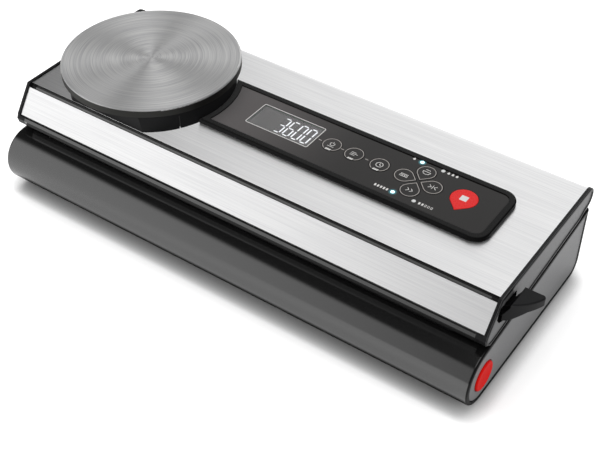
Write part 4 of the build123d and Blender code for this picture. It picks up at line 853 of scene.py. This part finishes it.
def box_path(x, y, width, height):
    """Corners of a rectangle about x, y."""
    return [(x + sx * width / 2, y + sy * height / 2) for sx, sy in CORNERS]


print("ink:", INK_MM, "mm thick")

# %% [markdown]
# Four digits stand at the right of the display, 17 mm tall and slim. Each has the seven segments
# that every such display has. The lit ones glow, and the others are only a trace.

# %% Display digits
READING = "3600"
DIGIT_MM = (4.9, 16.9)
DIGIT_PITCH_MM = 7.5
STROKE_MM = 1.15
READING_PLACE = (-12.0, 5.5)
# Gap at a segment's ends, as a share of half its stroke.
SEGMENT_GAP = 0.8
# Lit segments of each digit: a to f run clockwise round it from the top, and g is the middle bar.
SEGMENTS = {"0": "abcdef", "3": "abgcd", "6": "afgedc"}
# Where each segment begins and ends, as shares of a digit's width and height.
SEGMENT_ENDS = {"a": ((0, 1), (1, 1)), "b": ((1, 1), (1, 0.5)), "c": ((1, 0.5), (1, 0)),
                "d": ((0, 0), (1, 0)), "e": ((0, 0.5), (0, 0)), "f": ((0, 1), (0, 0.5)),
                "g": ((0, 0.5), (1, 0.5))}

display_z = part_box("display_module")[1].z / MM
width, height = DIGIT_MM
lit_bm = bmesh.new()
unlit_bm = bmesh.new()
for place_in_row, digit in enumerate(READING):
    left = READING_PLACE[0] + place_in_row * DIGIT_PITCH_MM
    for segment, ends in SEGMENT_ENDS.items():
        a, b = [Vector((left + u * width, READING_PLACE[1] + v * height)) for u, v in ends]
        along = (b - a).normalized() * STROKE_MM / 2
        across = Vector((-along.y, along.x))
        a, b = a + along * SEGMENT_GAP, b - along * SEGMENT_GAP
        outline = [a, a + along + across, b - along + across, b, b - along - across, a + along - across]
        plate(lit_bm if segment in SEGMENTS[digit] else unlit_bm, outline, display_z)
piece("display_digits", lit_bm, lit_segment, "lid")
piece("display_segments_off", unlit_bm, unlit_segment, "lid")
print("reading:", READING)

# %% [markdown]
# A thin light line frames the window, and short dashes lead from it along the first keys.

# %% Window line and dashes
LINE_MM = 0.6
WINDOW_ROUND_MM = 1.2
DASHES_X = (22.4, 41.1, 61.1)
DASH_MM = 2.6

window_low, window_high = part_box("display_window")
window_x = ((window_low.x + window_high.x) / 2 - CASING_X) / MM
window_y = (window_low.y + window_high.y) / 2 / MM
half_x = (window_high.x - window_low.x) / 2 / MM - LINE_MM / 2
half_y = (window_high.y - window_low.y) / 2 / MM - LINE_MM / 2
frame_path = []
for turn, (sx, sy) in zip((180, 270, 0, 90), CORNERS):
    corner_x = window_x + sx * (half_x - WINDOW_ROUND_MM)
    corner_y = window_y + sy * (half_y - WINDOW_ROUND_MM)
    frame_path += arc(corner_x, corner_y, WINDOW_ROUND_MM, turn, turn + 90, 6)
line_bm = bmesh.new()
strip(line_bm, frame_path, LINE_MM, window_high.z / MM, closed=True)
piece("display_frame_line", line_bm, white_ink, "lid")

dash_bm = bmesh.new()
for x in DASHES_X:
    strip(dash_bm, [(x - DASH_MM / 2, window_y), (x + DASH_MM / 2, window_y)], LINE_MM, FILM_TOP)
piece("key_dashes", dash_bm, grey_ink, "lid")
print("window:", round(half_x * 2, 1), "by", round(half_y * 2, 1), "mm")

# %% [markdown]
# ## Keys
# Three round keys follow the display, then four drops whose points meet, and the red stop key.
# Each has a small generic sign, and all but the stop key have an outline just inside their edge.
# Everything printed on a key rides on that key, so that it goes down with it.

# %% Places of the keys
KEY_FLANGE_MM = 0.6
KEY_POINTS = {"power_key": None, "mode_key": None, "time_key": None, "seal_key": 0, "food_key": 270,
              "vacuum_key": 180, "speed_key": 90, "stop_key": 270}
KEY_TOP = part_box("power_key")[1].z / MM


def key_place(name):
    """Middle and radius of a key in mm. The box of a drop is longer towards its point."""
    low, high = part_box(name)
    flange = min(high.x - low.x, high.y - low.y) / 2
    middle = (low + high) / 2
    if KEY_POINTS[name] is not None:
        turn = radians(KEY_POINTS[name])
        middle -= Vector((cos(turn), sin(turn), 0)) * flange * (2 ** 0.5 - 1) / 2
    return (middle.x - CASING_X) / MM, middle.y / MM, flange / MM - KEY_FLANGE_MM


keys = {name: key_place(name) for name in KEY_POINTS}
print({name: [round(v, 1) for v in place] for name, place in keys.items()})

# %% [markdown]
# Outlines are printed lines. A round key's has a gap at the front with three slanted ticks in
# it, and a drop's runs round and meets in a point. The stop key needs none, its colour is enough.

# %% Outlines and front marks
OUTLINE_MM = 0.5
OUTLINE_IN_MM = 0.6
GAP_HALF_TURN = 28.0
TICK_MM = (1.25, 1.6)
TICK_PITCH_MM = 1.5
TICK_PLACE_MM = (0.2, 1.5)
TICK_LEAN_MM = 0.35

for name, (x, y, radius) in keys.items():
    point = KEY_POINTS[name]
    inner = radius - OUTLINE_IN_MM
    if name == "stop_key":
        continue
    key_bm = bmesh.new()
    if point is None:
        ring = arc(x, y, inner, -90 + GAP_HALF_TURN, 270 - GAP_HALF_TURN, 48)
        strip(key_bm, ring, OUTLINE_MM, KEY_TOP)
    else:
        drop = arc(x, y, inner, point + 45, point + 315, 40)
        tip = inner * 2 ** 0.5
        drop.append((x + tip * cos(radians(point)), y + tip * sin(radians(point))))
        strip(key_bm, drop, OUTLINE_MM, KEY_TOP, closed=True)
    piece(name + "_outline", key_bm, grey_ink, name)

for name in ("power_key", "mode_key", "time_key"):
    x, y, radius = keys[name]
    tick_bm = bmesh.new()
    for step in (-1, 0, 1):
        middle = (x + step * TICK_PITCH_MM + TICK_PLACE_MM[0], y - radius + TICK_PLACE_MM[1])
        outline = [(px + TICK_LEAN_MM * sy, py)
                   for (px, py), (_, sy) in zip(box_path(*middle, *TICK_MM), CORNERS)]
        plate(tick_bm, outline, KEY_TOP)
    piece(name + "_front_mark", tick_bm, white_ink, name)
print("outlined keys:", len(keys) - 1)

# %% [markdown]
# The signs are of the plain kind that many machines share: a ring with a bar for power, three
# bars for the programme, a clock, a seam, a bowl, two arrows that press together, a double
# arrow for speed and a square for stop.

# %% Key signs
SIGN_MM = 0.42
STOP_SIGN_MM = 5.2


def power_sign(x, y):
    """A ring with a bar in its gap, and a line below."""
    return [(arc(x, y + 0.6, 1.7, 125, 415), False), ([(x, y + 1.2), (x, y + 3.0)], False),
            ([(x - 2.6, y - 2.4), (x + 2.6, y - 2.4)], False)]


def mode_sign(x, y):
    """Three bars, the middle one longest."""
    return [([(x - 2.8, y + up), (x + 2.8 - 1.2 * abs(up), y + up)], False) for up in (-1.5, 0, 1.5)]


def time_sign(x, y):
    """A clock with two hands."""
    return [(arc(x, y, 2.5, 0, 345), True), ([(x, y + 1.7), (x, y), (x + 1.3, y - 0.7)], False)]


def seal_sign(x, y):
    """A zigzag between two lines."""
    zigzag = [(x - 3 + i, y + (0.5 if i % 2 else -0.5)) for i in range(7)]
    return [([(x - 3, y + up), (x + 3, y + up)], False) for up in (-1.3, 1.3)] + [(zigzag, False)]


def food_sign(x, y):
    """A bowl with two heaps in it."""
    heaps = [(arc(x + side * 0.9, y + 2.1, 0.8, 20, 160, 8), False) for side in (-1, 1)]
    return [(arc(x, y + 0.7, 2.8, 180, 360, 16), True)] + heaps


def vacuum_sign(x, y):
    """Two arrowheads that press on a bar."""
    heads = [([(x + side * 3, y + 1.6), (x + side * 1.1, y), (x + side * 3, y - 1.6)], False)
             for side in (-1, 1)]
    return heads + [([(x, y + 2), (x, y - 2)], False)]


def speed_sign(x, y):
    """Two arrowheads one after the other."""
    return [([(x + on, y + 1.7), (x + on + 1.7, y), (x + on, y - 1.7)], False) for on in (-2.4, 0.4)]


GREY_SIGNS = {"power_key": power_sign, "mode_key": mode_sign, "time_key": time_sign,
              "seal_key": seal_sign, "food_key": food_sign, "vacuum_key": vacuum_sign,
              "speed_key": speed_sign}

for name, draw in GREY_SIGNS.items():
    x, y, radius = keys[name]
    sign_bm = bmesh.new()
    for path, closed in draw(x, y):
        strip(sign_bm, path, SIGN_MM, KEY_TOP, closed)
    piece(name + "_sign", sign_bm, white_ink, name)

stop_x, stop_y, _ = keys["stop_key"]
stop_bm = bmesh.new()
plate(stop_bm, box_path(stop_x, stop_y, STOP_SIGN_MM, STOP_SIGN_MM), KEY_TOP)
piece("stop_key_sign", stop_bm, white_ink, "stop_key")
print("signs:", len(GREY_SIGNS) + 1)

# %% [markdown]
# ## Lamps and their marks
# Each of the four lamps ends in a small lens of clear plastic that stands a little above the
# film. Its rings shrink towards the top as on a dome.

# %% Lamp lenses
LENS_MM = (1.5, 0.42)
LENS_STEPS = 24
LENS_RINGS = (0.0, 0.35, 0.65, 0.87)


def dome(bm, x, y, z, radius, rise):
    """A closed lens: rings that shrink towards the top."""
    rings = []
    for share in LENS_RINGS:
        turn = share * pi / 2
        ring_r = radius * cos(turn)
        rings.append([bm.verts.new(spot(px, py, z + rise * sin(turn)))
                      for px, py in arc(x, y, ring_r, 0, 360, LENS_STEPS)[:-1]])
    rings.insert(0, [bm.verts.new(spot(px, py, z - INK_SINK_MM))
                     for px, py in arc(x, y, radius, 0, 360, LENS_STEPS)[:-1]])
    for one, other in zip(rings, rings[1:]):
        for i in range(LENS_STEPS):
            bm.faces.new((one[i - 1], one[i], other[i], other[i - 1]))
    bm.faces.new(rings[0])
    bm.faces.new(rings[-1])


for lamp, (x, y) in LAMPS.items():
    lens_bm = bmesh.new()
    dome(lens_bm, x, y, FILM_TOP, *LENS_MM)
    finish = lit_lens if lamp in LIT_LAMPS else unlit_lens
    lens = piece("lamp_lens_" + lamp, lens_bm, finish, "lid")
    for polygon in lens.data.polygons:
        polygon.use_smooth = True
print("lenses:", len(LAMPS))

# %% [markdown]
# Beside the upper pair of lamps are one drop and three drops, beside the lower pair a row of
# bars, all filled or two of five: the usual signs for how moist and how strong.

# %% Lamp marks
DROP_ROWS = (((87.6, 34.5), 1), ((118.0, 34.0), 3))
DROP_R_MM = 0.95
DROP_PITCH_MM = 3.2
DROP_DOWN_MM = 0.4
DROP_TIP = 1.25
BAR_ROWS = (((84.6, -4.4), 5), ((118.8, -4.4), 2))
BAR_COUNT = 5
BAR_MM = (1.3, 2.3)
BAR_PITCH_MM = 2.3
BAR_LINE_MM = 0.3

mark_bm = bmesh.new()
for (x, y), count in DROP_ROWS:
    for i in range(count):
        drop_x = x + (i - (count - 1) / 2) * DROP_PITCH_MM
        drop = arc(drop_x, y - DROP_DOWN_MM, DROP_R_MM, 135, 405, 20)
        drop.append((drop_x, y - DROP_DOWN_MM + DROP_R_MM * 2 ** 0.5 * DROP_TIP))
        plate(mark_bm, drop, FILM_TOP)
for (x, y), filled in BAR_ROWS:
    for i in range(BAR_COUNT):
        bar_x = x + (i - (BAR_COUNT - 1) / 2) * BAR_PITCH_MM
        if i < filled:
            plate(mark_bm, box_path(bar_x, y, *BAR_MM), FILM_TOP)
        else:
            hollow = box_path(bar_x, y, BAR_MM[0] - BAR_LINE_MM, BAR_MM[1] - BAR_LINE_MM)
            strip(mark_bm, hollow, BAR_LINE_MM, FILM_TOP, closed=True)
piece("lamp_marks", mark_bm, white_ink, "lid")
print("rows of marks:", len(DROP_ROWS) + len(BAR_ROWS))

# %% [markdown]
# ## Gaskets and pressure strip
# A ring of foam lies in a groove round the trough, and another in the lid presses on it. Both
# follow one path on the sloping deck: straight runs joined by quarter turns.

# %% Sweep along the deck
DECK_TILT = radians(5.44)
TROUGH_Y = -5.0
RING_LENGTH = 314.0
RING_REACH = 48.0
RING_CORNER = 14.0
DECK_FRONT = (-63.9, 46.9)
DECK_Z_AT_TROUGH = DECK_FRONT[1] + (TROUGH_Y - DECK_FRONT[0]) * tan(DECK_TILT)


def on_deck(x, y_along, up):
    """A point in mm on the sloping deck's own axes, from the middle of the trough."""
    y = TROUGH_Y + y_along * cos(DECK_TILT) - up * sin(DECK_TILT)
    z = DECK_Z_AT_TROUGH + y_along * sin(DECK_TILT) + up * cos(DECK_TILT)
    return spot(x, y, z)


def ring_path(steps_long=60, steps_short=10, steps_corner=10):
    """Points round the gasket's middle line, each with its outward direction."""
    half_l, half_r = RING_LENGTH / 2 - RING_CORNER, RING_REACH / 2 - RING_CORNER
    path = []
    corners = (((1, -1), -90, steps_short), ((1, 1), 0, steps_long),
               ((-1, 1), 90, steps_short), ((-1, -1), 180, steps_long))
    for i, ((sx, sy), turn, steps) in enumerate(corners):
        for k in range(steps_corner + 1):
            angle = radians(turn + 90 * k / steps_corner)
            out = Vector((cos(angle), sin(angle)))
            path.append((Vector((sx * half_l, sy * half_r)) + out * RING_CORNER, out))
        (nx, ny), _, _ = corners[(i + 1) % 4]
        out = path[-1][1]
        begin = path[-1][0]
        end = Vector((nx * half_l, ny * half_r)) + out * RING_CORNER
        path += [(begin.lerp(end, k / steps), out) for k in range(1, steps)]
    return path


def foam_ring(name, node, section, body):
    """Sweeps a section of (across, up) points round the trough."""
    bm = bmesh.new()
    rows = []
    for middle, out in ring_path():
        wave = noise.noise(Vector((middle.x, middle.y, 0)) * 0.06)
        row = []
        for across, up, free in section:
            point = middle + out * (across * (1 + 0.02 * wave))
            row.append(bm.verts.new(on_deck(point.x, point.y, up + 0.06 * wave * free)))
        rows.append(row)
    for one, other in zip(rows, rows[1:] + rows[:1]):
        for k in range(len(section)):
            bm.faces.new((one[k - 1], one[k], other[k], other[k - 1]))
    made = piece(name, bm, finishes["foam_rubber"], body)
    for polygon in made.data.polygons:
        polygon.use_smooth = True
    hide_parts(node)
    return made


print("points round the trough:", len(ring_path()))

# %% [markdown]
# Foam is cut from a sheet and glued into its groove, so its foot is square and its free face
# swells into a crown. The section says how much of the foam's waviness each point shows: the
# glued foot none, the free face all of it.

# %% Foam rings
FOAM_HALF_MM = 3.25
FOAM_LEAN_MM = 0.35
# Heights of foot and crown above the deck. The upper ring hangs from the lid, so its crown is lower.
LOWER_FOAM_MM = (-1.98, 0.95)
UPPER_FOAM_MM = (4.18, 1.4)


def crowned(foot, crown, half, lean, steps=8):
    """Section of a foam strip from its seated foot to its crowned free face."""
    shoulder = foot + (crown - foot) * 0.78
    section = [(-half, foot, 0), (-half + lean * 0.3, foot + (shoulder - foot) * 0.5, 0)]
    for i in range(steps + 1):
        turn = pi * i / steps
        section.append((-(half - lean) * cos(turn), shoulder + (crown - shoulder) * sin(turn) ** 0.6, 1))
    section += [(half - lean * 0.3, foot + (shoulder - foot) * 0.5, 0), (half, foot, 0)]
    return section


lower_section = crowned(*LOWER_FOAM_MM, FOAM_HALF_MM, FOAM_LEAN_MM)
upper_section = crowned(*UPPER_FOAM_MM, FOAM_HALF_MM, FOAM_LEAN_MM)
lower_foam = foam_ring("lower_gasket_foam", "lower_gasket", lower_section, "base")
upper_foam = foam_ring("upper_gasket_foam", "upper_gasket", upper_section, "lid")
print("foam rings:", len(lower_foam.data.vertices), "points each")

# %% [markdown]
# The strip of silicone in the lid presses the bag on the heating strip. It is extruded, so one
# section runs straight all along it, and its two ends are cut square.

# %% Pressure strip
STRIP_Y = -43.5
STRIP_LENGTH = 304.0
STRIP_HALF = 3.4
STRIP_FOOT = 4.18
STRIP_CROWN = 1.25
STRIP_LEAN = 0.9
STRIP_ROUND_STEPS = 10
STRIP_STEPS = 40

strip_bm = bmesh.new()
section = crowned(STRIP_FOOT, STRIP_CROWN, STRIP_HALF, STRIP_LEAN, STRIP_ROUND_STEPS)
y_middle = (STRIP_Y - TROUGH_Y) / cos(DECK_TILT)
rows = []
for i in range(STRIP_STEPS + 1):
    x = STRIP_LENGTH * (i / STRIP_STEPS - 0.5)
    rows.append([strip_bm.verts.new(on_deck(x, y_middle + across, up)) for across, up, _ in section])
for one, other in zip(rows, rows[1:]):
    for k in range(len(section)):
        strip_bm.faces.new((one[k - 1], one[k], other[k], other[k - 1]))
strip_bm.faces.new(rows[0])
strip_bm.faces.new(rows[-1])
press = piece("pressure_strip_rubber", strip_bm, finishes["silicone"], "lid")
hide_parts("pressure_strip")
print("pressure strip:", STRIP_LENGTH, "mm")
